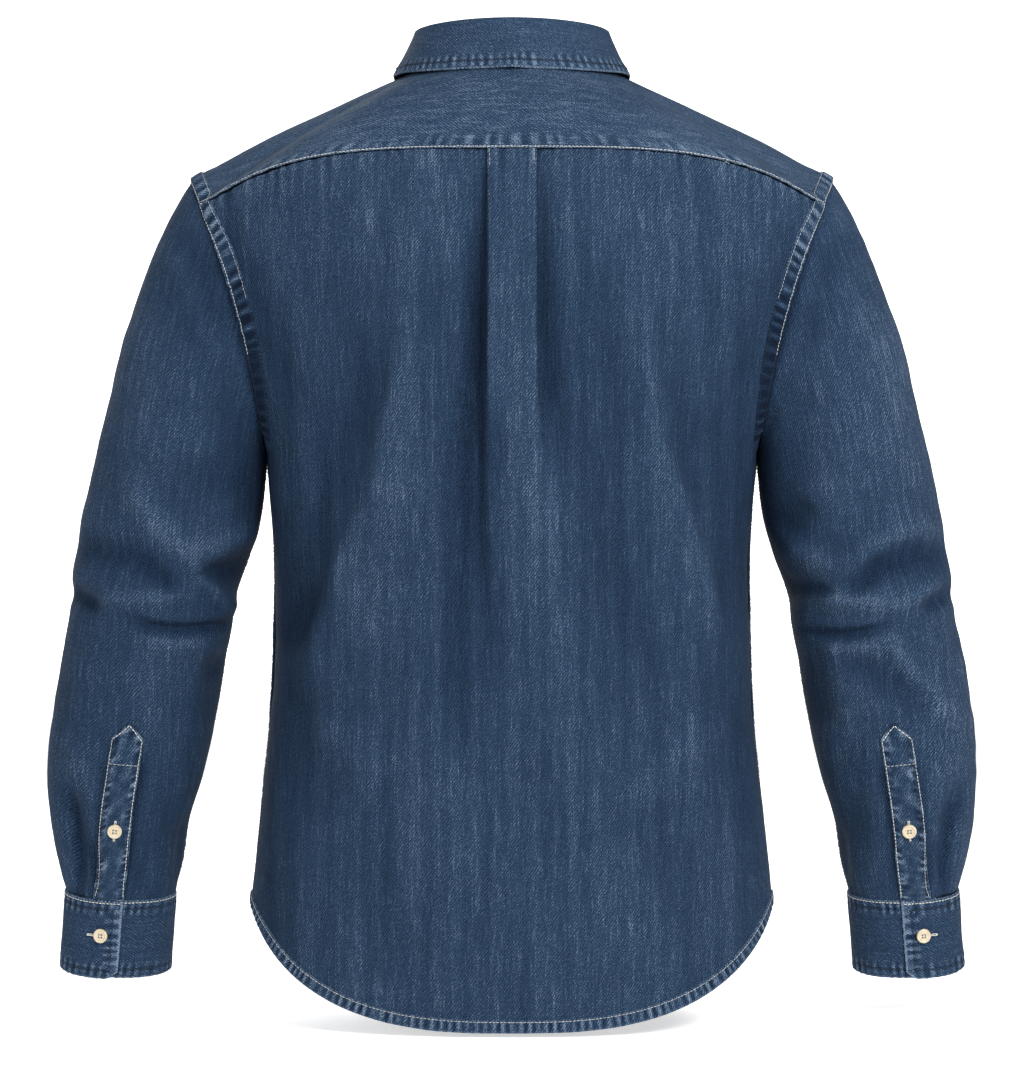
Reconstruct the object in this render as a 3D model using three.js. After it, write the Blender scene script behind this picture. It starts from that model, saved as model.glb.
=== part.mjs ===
// A men's long-sleeved denim shirt, filled out as if worn, with no wearer inside.
// Millimetres, +Z up, the front faces -Y and the wearer's left is +X.
// The origin is midway between the two points where the shoulders meet the neck,
// which is where a wearer carries the shirt. Each piece of cloth is a thin closed wall
// round a grid of points, worked out from the sizes and short tables below.
import * as THREE from "three";

const { degToRad, radToDeg, clamp, smoothstep, lerp } = THREE.MathUtils;

// ---- Driving dimensions ----
const CLOTH = 1.2; // wall of a single panel
const BAND = 2.0; // wall of the doubled pieces: collar, stand and cuffs
const SEAM_GAP = 0.3; // between two pieces that are sewn together
const LAY_GAP = 0.5; // between a piece and what lies on it

const NECK = { halfWidth: 78, midY: -11, halfDepth: 73, z: 8, frontDrop: 80 };
const ARMHOLE = { topX: 252, topZ: -79, footX: 192, footZ: -292, back: 60, front: 58, bow: 10 };
const YOKE = { backAngle: 36, frontAngle: -38, neckBack: 68, neckFront: 115, bulge: 14, backBulge: 12 };
const FULLNESS = 0.035; // how far the torso's four corners stand out of an ellipse
const CLOSURE = { half: 17.5, neckT: 6.5, lap: 1.9, lapFade: 45, round: 180 };
const PLEAT = { topSpacing: 1.6, spacing: 2.2, closedAbove: 7.6, openBelow: 4.2 };
const STAND = { height: 33, sideDip: 2.5, topHalfWidth: 69.5, topMidY: -17, topHalfDepth: 67, end: 190, lift: 1.9 };
const LEAF = { end: 171, fold: 3, bow: 2 };
const CUFF = { height: 61, lean: 5, forward: 8, overlap: 38, edge: 95.5, layer: 1.35, outset: 0.6 };
const SLIT = { topRow: 11.4, halfWidth: 12.3, point: 10, angle: 91.5, twist: 10.5, gap: 0.9 };
const BUTTON = { radius: 5.7, height: 2.6, rim: 2.4, dish: 1, edge: 0.6 };
const FRONT_BUTTONS = { top: -118, spacing: 92, count: 6 };
const COLLAR_BUTTON = { turn: 178, h: 0.5 };
const SLIT_BUTTON_ROW = 13.12;
const CUFF_BUTTON = { s: 0.049, h: 0.45 };

// Torso rows: the hem, the foot of the armhole and the yoke's seams.
const HEM_ROW = 0;
const FOOT_ROW = 4;
const YOKE_ROW = 9;
const CUFF_ROW = 15; // sleeve rows run from the armhole (0) to here
const SLEEVE_ROW_LENGTH = 45; // about how far apart its lower rows are
const ROW_GAP = 0.016; // share of a torso row left open at the yoke's seams
const BACK_STRETCH = 3.5; // torso rows as long as half of the back is wide
const SLEEVE_STRETCH = 40; // degrees round a sleeve as wide as a row is long

// The centre back, by torso row t.
const BACK_CENTRE = [
  { t: 0, z: -734, y: 124 },
  { t: 1, z: -626, y: 121 },
  { t: 2, z: -517, y: 115 },
  { t: 3, z: -409, y: 112 },
  { t: 4, z: -300, y: 118 },
  { t: 5, z: -254, y: 120.5 },
  { t: 6, z: -206, y: 120.5 },
  { t: 7, z: -156, y: 117 },
  { t: 8, z: -108, y: 110 },
  { t: 9, z: -61, y: 101 },
];
// The centre front, up to the foot of the neckline.
const FRONT_CENTRE = [
  { t: 0, z: -712, y: -117 },
  { t: 2, z: -508, y: -114 },
  { t: 4, z: -298, y: -118 },
  { t: 5, z: -210, y: -117 },
  { t: 6, z: -120, y: -101 },
  { t: 6.5, z: -74, y: -84.5 },
];
// How far forward the front's rows would reach at the middle.
const FRONT_REACH = [
  { t: 0, y: -117 },
  { t: 2, y: -114 },
  { t: 4, y: -118 },
  { t: 5, y: -117 },
  { t: 6, y: -101 },
  { t: 6.5, y: -92 },
  { t: 8, y: -76 },
  { t: 9, y: -58 },
];
// The side seam, and how late each row rises on its way from the centre to the side.
const SIDE_SEAM = [
  { t: 0, x: 204, z: -645, lateness: 1.03 },
  { t: 1, x: 195, z: -556, lateness: 1.1 },
  { t: 2, x: 188, z: -467, lateness: 1.1 },
  { t: 3, x: 187, z: -379, lateness: 1.1 },
  { t: 4, x: ARMHOLE.footX, z: ARMHOLE.footZ, lateness: 1.1 },
  { t: 9, x: ARMHOLE.footX, z: ARMHOLE.footZ, lateness: 1.35 },
];
// Half of the box pleat's section, from its centre outwards: x and layer (0 on top) where
// it is folded shut, and x where it has opened out flat.
const PLEAT_SECTION = [
  { x: 0, layer: 0, openX: 0 },
  { x: 9.5, layer: 0, openX: 8 },
  { x: 17.6, layer: 0, openX: 15 },
  { x: 18.8, layer: 0.5, openX: 20 },
  { x: 17.6, layer: 1, openX: 25 },
  { x: 4.6, layer: 1, openX: 30 },
  { x: 3.4, layer: 1.5, openX: 35 },
  { x: 4.6, layer: 2, openX: 40 },
  { x: 20, layer: 2, openX: 45 },
  { x: 36, layer: 1.6, openX: 51 },
];
// Rings of a sleeve, row from the armhole (0) to the cuff (15): the points of its outer and
// inner outline, how far its middle lies back, half its depth, and how far its back dips.
const SLEEVE = [
  { row: 0, outX: ARMHOLE.topX, outZ: ARMHOLE.topZ, inX: ARMHOLE.footX, inZ: ARMHOLE.footZ,
    midY: 0, depth: 59, dip: 0 },
  { row: 1, outX: 263, outZ: -97, inX: 193.6, inZ: -299, midY: 0, depth: 61, dip: 0 },
  { row: 2, outX: 278, outZ: -128, inX: 194.2, inZ: -307, midY: 0, depth: 62, dip: 0 },
  { row: 3, outX: 293, outZ: -168, inX: 194.8, inZ: -316, midY: 0, depth: 63, dip: 0 },
  { row: 4, outX: 306, outZ: -212, inX: 195.6, inZ: -327, midY: -1, depth: 63, dip: 0 },
  { row: 5, outX: 319, outZ: -260, inX: 198, inZ: -342, midY: -2, depth: 62, dip: 0 },
  { row: 6, outX: 330, outZ: -305, inX: 203, inZ: -360, midY: -4, depth: 60, dip: 1 },
  { row: 7, outX: 340, outZ: -350, inX: 211, inZ: -384, midY: -6, depth: 59, dip: 1 },
  { row: 8, outX: 347, outZ: -388, inX: 219, inZ: -408, midY: -9, depth: 58, dip: 2 },
  { row: 9, outX: 349, outZ: -412, inX: 222.5, inZ: -430, midY: -12, depth: 57, dip: 3 },
  { row: 10, outX: 354.5, outZ: -438, inX: 226, inZ: -450, midY: -16, depth: 56, dip: 4 },
  { row: 11, outX: 362.5, outZ: -484, inX: 234, inZ: -495, midY: -24, depth: 54, dip: 5 },
  { row: 12, outX: 368.5, outZ: -534.5, inX: 246, inZ: -546, midY: -32, depth: 51, dip: 6 },
  { row: 13, outX: 368.5, outZ: -575.5, inX: 257, inZ: -581.5, midY: -38, depth: 47, dip: 6 },
  { row: 14, outX: 362, outZ: -614.5, inX: 263, inZ: -617.5, midY: -43, depth: 41, dip: 6 },
  { row: 15, outX: 355.5, outZ: -638, inX: 269.5, inZ: -641, midY: -46, depth: 36, dip: 6 },
];
// The collar leaf's outer edge: turn is degrees round the neck from the centre back.
const LEAF_EDGE = [
  { turn: 0, x: 0, y: 74, z: 4 },
  { turn: 40, x: 61, y: 54, z: 3.5 },
  { turn: 75, x: 90, y: 14, z: 5 },
  { turn: 100, x: 93.5, y: -30, z: 1.5 },
  { turn: 130, x: 88, y: -78, z: -40 },
  { turn: 155, x: 72, y: -101, z: -83 },
  { turn: LEAF.end, x: 58, y: -110, z: -108 },
];

// The largest folds, ridges (height above 0) and troughs, each from one end to the other.
// On the back: across is -1 to 1 from side to side, the wearer's left above 0.
const BACK_FOLDS = [
  { across: 0.4, t: 6.4, toAcross: 0.76, toT: 3, width: 0.13, height: 5 },
  { across: 0.24, t: 7.6, toAcross: 0.28, toT: 4.4, width: 0.08, height: -6 },
  { across: 0.88, t: 4.3, toAcross: 0.84, toT: 2.2, width: 0.1, height: -4 },
  { across: -0.38, t: 6.2, toAcross: -0.78, toT: 3.1, width: 0.13, height: 4.5 },
  { across: -0.24, t: 7.8, toAcross: -0.28, toT: 4.2, width: 0.08, height: -6 },
  { across: -0.88, t: 4.4, toAcross: -0.84, toT: 2.4, width: 0.1, height: -4 },
];
// On a sleeve: angle is degrees round it from its outer line over the back.
const SLEEVE_FOLDS = [
  { angle: 20, row: 7.6, toAngle: 150, toRow: 9.9, width: 0.55, height: -7 },
  { angle: 60, row: 7.4, toAngle: 150, toRow: 8.7, width: 0.6, height: 4 },
  { angle: 5, row: 8.9, toAngle: 90, toRow: 9.7, width: 0.45, height: 4 },
  { angle: 90, row: 9.9, toAngle: 165, toRow: 10.1, width: 0.4, height: -6 },
  { angle: 60, row: 10.5, toAngle: 150, toRow: 11, width: 0.6, height: 3 },
  { angle: 215, row: 8.2, toAngle: 320, toRow: 9.4, width: 0.6, height: -5 },
  { angle: 70, row: 2.2, toAngle: 110, toRow: 6, width: 0.5, height: -3 },
];

// ---- Small tools ----
// A smooth curve through a table's rows: returns the other columns' values at a place.
function between(rows, key) {
  const columns = Object.keys(rows[0]).filter((name) => name !== key);
  const at = rows.map((row) => row[key]);
  return (place) => {
    const i = clamp(at.filter((value) => value <= place).length - 1, 0, at.length - 2);
    const step = at[i + 1] - at[i];
    const f = (place - at[i]) / step;
    const result = {};
    for (const name of columns) {
      const slope = (a) => (rows[a + 1][name] - rows[a][name]) / (at[a + 1] - at[a]);
      const here = slope(i);
      const start = i > 0 ? (slope(i - 1) + here) / 2 : here;
      const finish = i < at.length - 2 ? (here + slope(i + 1)) / 2 : here;
      result[name] =
        rows[i][name] * (1 + 2 * f) * (1 - f) ** 2 + start * step * f * (1 - f) ** 2 +
        rows[i + 1][name] * f * f * (3 - 2 * f) + finish * step * f * f * (f - 1);
    }
    return result;
  };
}

// The numbers from a to b in n equal steps, with any extra ones merged in order.
function steps(a, b, n, extra = []) {
  const list = Array.from({ length: n + 1 }, (_, i) => lerp(a, b, i / n));
  return [...new Set([...list, ...extra])].sort((p, q) => (p - q) * Math.sign(b - a));
}

// The height of a soft fold at (p, q). It runs from (p0, q0) to (p1, q1); widths and
// lengths are in q's own unit, and stretch is how many of p make one of q.
function foldHeight(p, q, p0, q0, p1, q1, fold, stretch) {
  const dp = (p1 - p0) / stretch;
  const dq = q1 - q0;
  const ap = (p - p0) / stretch;
  const aq = q - q0;
  const along = clamp((ap * dp + aq * dq) / (dp * dp + dq * dq), -0.25, 1.25);
  const off = Math.hypot(ap - along * dp, aq - along * dq) / fold.width;
  const fade = Math.cos(clamp(Math.abs(along - 0.5) - 0.25, 0, 0.5) * Math.PI);
  return fold.height * Math.exp(-off * off) * fade;
}

// A surface's normal from two short steps along it; sense is -1 where the steps make a
// left-handed turn seen from outside.
function normalOf(form, p, q, sense) {
  const e = 1e-3;
  const dp = form(p + e, q).sub(form(p - e, q));
  const dq = form(p, q + e).sub(form(p, q - e));
  return dp.cross(dq).normalize().multiplyScalar(sense);
}

// ---- The form that the pieces follow ----
const sideSeam = between(SIDE_SEAM, "t");
const backCentre = between(BACK_CENTRE, "t");
const frontCentre = between(FRONT_CENTRE, "t");
const frontAtHeight = between(FRONT_CENTRE, "z");
const frontReach = between(FRONT_REACH, "t");
const sleeveRow = between(SLEEVE, "row");
const leafEdge = between(LEAF_EDGE, "turn");

// The armhole on the wearer's left: degrees from its top over the back.
function armhole(degrees) {
  const c = Math.cos(degToRad(degrees));
  const s = Math.sin(degToRad(degrees));
  return new THREE.Vector3(
    (ARMHOLE.topX + ARMHOLE.footX) / 2 + ((ARMHOLE.topX - ARMHOLE.footX) / 2) * c
      - ARMHOLE.bow * s * s,
    (s > 0 ? ARMHOLE.back : ARMHOLE.front) * s,
    (ARMHOLE.topZ + ARMHOLE.footZ) / 2 + ((ARMHOLE.topZ - ARMHOLE.footZ) / 2) * c,
  );
}

// The neckline: degrees from the centre back (0) by the wearer's left (90) to the front.
function neckline(degrees) {
  const c = Math.cos(degToRad(degrees));
  return new THREE.Vector3(
    NECK.halfWidth * Math.sin(degToRad(degrees)),
    NECK.midY + NECK.halfDepth * c,
    NECK.z - (c < 0 ? NECK.frontDrop * c * c : 0),
  );
}

// The neckline with its two ends run on level past the centre front.
function neckEdge(turn) {
  const a = Math.abs(turn);
  const p = neckline(Math.min(a, 180));
  p.x = NECK.halfWidth * Math.sin(degToRad(turn));
  p.z -= Math.max(a - 180, 0) / 10;
  return p;
}

// The outer end of torso row t: up the side seam, then up the armhole to the yoke.
function rowEnd(t, yokeAngle) {
  const up = (t - FOOT_ROW) / (YOKE_ROW - FOOT_ROW);
  if (up > 0) return armhole(lerp(180 * Math.sign(yokeAngle), yokeAngle, up));
  const { x, z } = sideSeam(t);
  return new THREE.Vector3(x, 0, z);
}

// How far a row has risen from its centre's height to its end's, at share v of its way.
function rise(v, lateness) {
  const w = Math.max(v, 0) ** lateness;
  return w * w * w * (4 - 3 * w);
}

const corner = (turn) => 1 + FULLNESS * Math.sin(2 * turn) ** 2;

// The back's form, without its pleat and folds.
function backForm(across, t) {
  const centre = backCentre(t);
  const end = rowEnd(t, YOKE.backAngle);
  const v = Math.abs(across);
  const turn = Math.acos(clamp(end.y / centre.y, 0, 1));
  const a = v * turn;
  const endDepth = Math.cos(turn) * corner(turn);
  const depth = (Math.cos(a) * corner(a) - endDepth) / (1 - endDepth);
  const x = (end.x * Math.sin(a) * corner(a)) / (Math.sin(turn) * corner(turn));
  return new THREE.Vector3(
    x * Math.sign(across),
    lerp(end.y, centre.y, depth),
    lerp(centre.z, end.z, rise(v, sideSeam(t).lateness)),
  );
}

// A point on the back: the form moved out by height and by the folds that cross there.
function backPoint(across, t, height = 0) {
  const n = normalOf(backForm, across, t, -1);
  for (const f of BACK_FOLDS) {
    height += foldHeight(t, across, f.t, f.across, f.toT, f.toAcross, f, BACK_STRETCH);
  }
  return backForm(across, t).addScaledVector(n, height);
}

// Where a distance x from the centre back lies on row t, as a share of the row.
function acrossAt(x, t) {
  const end = rowEnd(t, YOKE.backAngle);
  const turn = Math.acos(clamp(end.y / backCentre(t).y, 0, 1));
  return Math.asin((x * Math.sin(turn)) / end.x) / turn;
}

// The yoke's form: degrees round the neck, r from the neckline (0) outwards (1).
function yokeForm(degrees, r) {
  const a = Math.abs(degrees);
  const inner = neckline(a);
  const share = (a - YOKE.neckBack) / (YOKE.neckFront - YOKE.neckBack);
  const outer = share < 0
    ? backForm(a / YOKE.neckBack, YOKE_ROW)
    : armhole(lerp(YOKE.backAngle, YOKE.frontAngle, share));
  const chord = outer.clone().sub(inner);
  const round = neckline(a + 1).sub(neckline(a - 1));
  const height = YOKE.bulge + YOKE.backBulge * Math.cos(degToRad(Math.min(a, 90))) ** 2;
  const up = round.cross(chord).setLength(height);
  const p = inner.lerp(outer, r).addScaledVector(up, r * (1 - r) * (0.5 + r));
  p.x *= Math.sign(degrees) || 1;
  return p;
}

// How far torso row t is from the foot of the neckline (0) to the yoke (1).
const neckShare = (t) => (t - CLOSURE.neckT) / (YOKE_ROW - CLOSURE.neckT);

// The inner edge of the wearer's left front: the closure, then round the neckline.
function frontInner(t) {
  if (t < CLOSURE.neckT) {
    const { y, z } = frontCentre(t);
    return new THREE.Vector3(-CLOSURE.half, y, z);
  }
  const start = 180 + radToDeg(Math.asin(CLOSURE.half / NECK.halfWidth));
  return neckEdge(lerp(start, YOKE.neckFront, neckShare(t)));
}

// The wearer's left front: v from its inner edge (0) to its outer end (1).
function frontForm(v, t) {
  const end = rowEnd(t, YOKE.frontAngle);
  const inner = frontInner(t);
  const reach = frontReach(t).y;
  const turn = Math.acos(clamp(end.y / reach, 0, 1));
  const wide = end.x / (Math.sin(turn) * corner(turn));
  const innerTurn = Math.asin(inner.x / wide);
  const at = (a) => new THREE.Vector3(
    wide * Math.sin(a) * corner(a),
    reach * Math.cos(a) * corner(a),
    lerp(inner.z, end.z, rise(v, sideSeam(t).lateness)),
  );
  const p = at(lerp(innerTurn, turn, v));
  const innerMiss = inner.clone().sub(at(innerTurn)).setZ(0);
  const endMiss = end.clone().sub(at(turn)).setZ(0);
  return p.addScaledVector(innerMiss, (1 - v) ** 2).addScaledVector(endMiss, v * v);
}

// The front's rows turn into the yoke's front edge over the neckline's height. Near the
// closure the depth depends only on x and z, so that both fronts share one surface there.
function frontPoint(v, t) {
  const p = frontForm(v, t);
  if (t > CLOSURE.neckT) {
    const miss = yokeForm(YOKE.neckFront, v).sub(frontForm(v, YOKE_ROW));
    p.addScaledVector(miss, neckShare(t) ** 1.5);
  }
  const shared = frontAtHeight(p.z).y + p.x ** 2 / (2 * CLOSURE.round);
  const away = smoothstep(Math.abs(p.x), CLOSURE.half + 2, CLOSURE.half + CLOSURE.lapFade);
  p.y = lerp(shared, p.y, away);
  return p;
}

// The sleeve's form on the wearer's left: degrees from its outer line over its back.
function sleeveForm(degrees, row) {
  const c = Math.cos(degToRad(degrees));
  const s = Math.sin(degToRad(degrees));
  const ring = sleeveRow(row);
  const p = new THREE.Vector3(
    (ring.outX + ring.inX) / 2 + ((ring.outX - ring.inX) / 2) * c,
    ring.midY + ring.depth * s,
    (ring.outZ + ring.inZ) / 2 + ((ring.outZ - ring.inZ) / 2) * c - ring.dip * s,
  );
  if (row >= 1) return p;
  return p.lerp(armhole(degrees), (1 - row) ** 2);
}

function sleevePoint(degrees, row, height = 0) {
  const n = normalOf(sleeveForm, degrees, row, -1);
  for (const f of SLEEVE_FOLDS) {
    const middle = (f.angle + f.toAngle) / 2;
    const off = ((((degrees - middle + 180) % 360) + 360) % 360) - 180;
    height += foldHeight(middle + off, row, f.angle, f.row, f.toAngle, f.toRow, f, SLEEVE_STRETCH);
  }
  return sleeveForm(degrees, row).addScaledVector(n, height);
}

// The collar stand: turn as for the neckline, h from its foot (0) to its top (1). Its
// wearer's left end lies over the right one at the front.
function standPoint(turn, h) {
  const s = Math.sin(degToRad(turn));
  const c = Math.cos(degToRad(turn));
  const foot = neckline(turn);
  const top = new THREE.Vector3(
    STAND.topHalfWidth * s,
    STAND.topMidY + STAND.topHalfDepth * c,
    foot.z + STAND.height - STAND.sideDip * s * s,
  );
  const lap = Math.sign(turn) * (BAND + LAY_GAP) / 2 * smoothstep(Math.abs(turn), 135, LEAF.end);
  const p = foot.lerp(top, h);
  return p.add(new THREE.Vector3(s * lap, c * lap, STAND.lift * (1 - h)));
}

// The collar leaf: r from its seam on the stand's top (0) over the fold to its edge (1).
const LEAF_SEAM = 0.12; // share of r taken by the fold
function leafPoint(turn, r) {
  const side = Math.sign(turn) || 1;
  const seam = standPoint(turn, 1);
  const out = new THREE.Vector3(Math.sin(degToRad(turn)), Math.cos(degToRad(turn)), 0);
  seam.z += 2 * SEAM_GAP + BAND / 2;
  const bend = Math.PI * Math.min(r / LEAF_SEAM, 1);
  const fold = seam.clone()
    .addScaledVector(out, LEAF.fold * (1 - Math.cos(bend)))
    .add(new THREE.Vector3(0, 0, LEAF.fold * Math.sin(bend)));
  if (r <= LEAF_SEAM) return fold;
  const e = leafEdge(Math.abs(turn));
  const edge = new THREE.Vector3(e.x * side, e.y, e.z);
  const f = (r - LEAF_SEAM) / (1 - LEAF_SEAM);
  const chord = edge.sub(fold);
  const hang = f - 0.35 * f * (1 - f);
  fold.addScaledVector(chord.clone().setZ(0), hang);
  fold.z += chord.z * f;
  return fold.addScaledVector(out, LEAF.bow * f * (1 - f));
}

// The cuff's strip: s from its upper end (0) round the wrist to its end underneath (1),
// h from its top (0) to its bottom (1).
function cuffPoint(s, h) {
  const degrees = CUFF.edge - (360 + CUFF.overlap) * s;
  const outer = 1 - smoothstep(s, 0.08, 0.3);
  const under = smoothstep(s, 0.7, 0.92);
  const p = sleeveForm(degrees, CUFF_ROW);
  const n = normalOf(sleeveForm, degrees, CUFF_ROW - 0.1, -1);
  p.addScaledVector(n, CUFF.outset + CUFF.layer * (outer - under));
  const down = SEAM_GAP + CLOTH / 2 + CUFF.height * h;
  return p.add(new THREE.Vector3(CUFF.lean * h, -CUFF.forward * h, -down));
}

// ---- Walls ----
// A closed wall round a grid of points: rows go up and columns to the right, seen from
// outside. On a ring the columns close on themselves.
function wall(grid, thickness, ring = false) {
  const rows = grid.length;
  const columns = grid[0].length;
  const at = (i, j) => {
    const column = ring ? (j + columns) % columns : clamp(j, 0, columns - 1);
    return grid[clamp(i, 0, rows - 1)][column];
  };
  const points = [];
  for (const side of [1, -1]) {
    for (let i = 0; i < rows; i++) {
      for (let j = 0; j < columns; j++) {
        const up = at(i + 1, j).clone().sub(at(i - 1, j));
        const n = at(i, j + 1).clone().sub(at(i, j - 1)).cross(up).normalize();
        points.push(grid[i][j].clone().addScaledVector(n, (side * thickness) / 2));
      }
    }
  }
  const faces = [];
  const quad = (a, b, c, d) => faces.push(a, b, c, a, c, d);
  const inside = rows * columns;
  const spans = ring ? columns : columns - 1;
  const top = (rows - 1) * columns;
  for (let j = 0; j < spans; j++) {
    const k = (j + 1) % columns;
    for (let i = 0; i < top; i += columns) {
      quad(i + j, i + k, i + k + columns, i + j + columns);
      quad(inside + i + k, inside + i + j, inside + i + j + columns, inside + i + k + columns);
    }
    quad(k, j, inside + j, inside + k);
    quad(top + j, top + k, inside + top + k, inside + top + j);
  }
  if (!ring) {
    for (let i = 0; i < top; i += columns) {
      const r = i + columns - 1;
      quad(inside + i, i, i + columns, inside + i + columns);
      quad(r, inside + r, inside + r + columns, r + columns);
    }
  }
  const geometry = new THREE.BufferGeometry().setFromPoints(points);
  geometry.setIndex(faces);
  geometry.computeVertexNormals();
  return geometry;
}

// The same piece on the wearer's other side.
function mirrored(geometry) {
  const copy = geometry.clone().scale(-1, 1, 1);
  const index = copy.getIndex();
  for (let i = 0; i < index.count; i += 3) {
    const b = index.getX(i + 1);
    index.setX(i + 1, index.getX(i + 2));
    index.setX(i + 2, b);
  }
  copy.computeVertexNormals();
  return copy;
}

const gridOf = (rows, columns, point) => rows.map((i) => columns.map((j) => point(i, j)));

// ---- Materials ----
const denim = new THREE.MeshStandardMaterial({ color: 0x364a5e, roughness: 0.9, metalness: 0 });
const denimBand = new THREE.MeshStandardMaterial({ color: 0x3f546c, roughness: 0.88, metalness: 0 });
const shell = new THREE.MeshStandardMaterial({ color: 0xd8cfbb, roughness: 0.35, metalness: 0 });

const shirt = new THREE.Group();

function addPiece(name, geometry, material) {
  const piece = new THREE.Mesh(geometry, material);
  piece.name = name;
  shirt.add(piece);
  return piece;
}

// ---- The back, with its box pleat ----
const panelShares = steps(0, 1, 7); // of the way from the pleat to the row's end
const pleatX = PLEAT_SECTION[PLEAT_SECTION.length - 1].x;
function backGeometry() {
  const row = (t) => {
    const closed = smoothstep(t, PLEAT.openBelow, PLEAT.closedAbove);
    const spacing = lerp(PLEAT.spacing, PLEAT.topSpacing, smoothstep(t, YOKE_ROW - 1, YOKE_ROW));
    const half = PLEAT_SECTION.map(({ x, layer, openX }) => ({
      across: acrossAt(lerp(openX, x, closed), t),
      height: (1 - layer) * spacing * closed,
    }));
    const last = half[half.length - 1];
    for (const u of panelShares.slice(1)) {
      half.push({ across: lerp(last.across, 1, u), height: last.height * (1 - u) ** 4 });
    }
    const other = half.slice(1).map(({ across, height }) => ({ across: -across, height }));
    return [...half.reverse(), ...other];
  };
  const rows = [
    ...steps(HEM_ROW, FOOT_ROW, 6),
    ...steps(FOOT_ROW, YOKE_ROW - ROW_GAP, 9).slice(1),
  ];
  return wall(
    rows.map((t) => row(t).map(({ across, height }) => backPoint(across, t, height))),
    CLOTH,
  );
}
addPiece("back_panel", backGeometry(), denim);

// ---- The yoke, over the shoulders from the back's seam to the fronts' ----
const yokeHalf = [
  ...steps(YOKE.neckFront, YOKE.neckBack, 6).slice(0, -1),
  ...panelShares.map((u) => YOKE.neckBack * lerp(1, acrossAt(pleatX, YOKE_ROW), u)),
];
const yokeTurns = [...yokeHalf, 0, ...yokeHalf.map((turn) => -turn).reverse()];
addPiece("yoke", wall(gridOf(steps(1, 0, 5), yokeTurns, (r, turn) => yokeForm(turn, r)), CLOTH), denim);

// ---- The fronts, the wearer's left lying over the right ----
const frontRows = [
  ...steps(HEM_ROW, FOOT_ROW, 5),
  ...steps(FOOT_ROW, CLOSURE.neckT, 5).slice(1),
  ...steps(CLOSURE.neckT, YOKE_ROW - ROW_GAP, 5).slice(1),
];
const frontShares = [0, 0.07, 0.14, ...steps(0.22, 1, 6)];

function frontEdgePoint(v, t, height) {
  const p = frontPoint(v, t).addScaledVector(normalOf(frontPoint, v, t, 1), height);
  if (t <= FOOT_ROW) p.y -= 2 * SEAM_GAP * smoothstep(v, 0.9, 1);
  return p;
}

addPiece(
  "front_left",
  wall(gridOf(frontRows, frontShares, (t, v) => frontEdgePoint(v, t, 0)), CLOTH),
  denim,
);
addPiece(
  "front_right",
  mirrored(wall(gridOf(frontRows, frontShares, (t, v) => {
    const x = frontPoint(v, t).x;
    const under = 1 - smoothstep(x, CLOSURE.half, CLOSURE.half + CLOSURE.lapFade);
    return frontEdgePoint(v, t, -CLOSURE.lap * under);
  }), CLOTH)),
  denim,
);

// ---- The front band, on the left front's edge ----
const bandHeight = CLOTH + LAY_GAP;
// The share of a front's row that lies x from the centre.
function frontShareAt(x, t) {
  let low = 0;
  let high = 0.5;
  for (let i = 0; i < 30; i++) {
    const middle = (low + high) / 2;
    if (frontPoint(middle, t).x < x) low = middle;
    else high = middle;
  }
  return low;
}
const bandPoint = (x, t, height) => {
  const v = frontShareAt(x, t);
  return frontPoint(v, t).addScaledVector(normalOf(frontPoint, v, t, 1), height);
};
const bandXs = steps(-CLOSURE.half, CLOSURE.half, 4);
const bandRows = frontRows.filter((t) => t <= CLOSURE.neckT);
addPiece(
  "front_placket",
  wall(gridOf(bandRows, bandXs, (t, x) => bandPoint(x, t, bandHeight)), CLOTH),
  denimBand,
);

// ---- The collar: its stand round the neck and its leaf folded over it ----
const collarTurns = steps(LEAF.end, -LEAF.end, 28);
const standTurns = [STAND.end, 180, ...collarTurns, -180, -STAND.end];
addPiece(
  "collar_stand",
  wall(gridOf(steps(0, 1, 2), standTurns, (h, turn) => standPoint(turn, h)), BAND),
  denimBand,
);
const leafRows = [...steps(1, LEAF_SEAM, 3), ...steps(LEAF_SEAM, 0, 3).slice(1)];
addPiece(
  "collar_leaf",
  wall(gridOf(leafRows, collarTurns, (r, turn) => leafPoint(turn, r)), BAND),
  denimBand,
);

// ---- Sleeves, the bands on their slits, and cuffs ----
// Near the armhole the sleeve keeps clear of the body's edge, most at the underarm.
function sleeveStart(degrees, row) {
  const p = sleevePoint(degrees, row);
  if (row >= 1) return p;
  const low = (1 - Math.cos(degToRad(degrees))) / 2;
  const away = new THREE.Vector3(lerp(0.5, 1, low), 0, lerp(-0.4, 0, low));
  return p.addScaledVector(away, (SEAM_GAP + CLOTH * lerp(0.55, 1.3, low)) * (1 - row));
}
const ringAngles = steps(0, 360, 18).slice(0, -1);
const sleeve = wall(
  gridOf(steps(CUFF_ROW, 0, CUFF_ROW, [0.4]), ringAngles, (row, degrees) => sleeveStart(degrees, row)),
  CLOTH,
  true,
);

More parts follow.
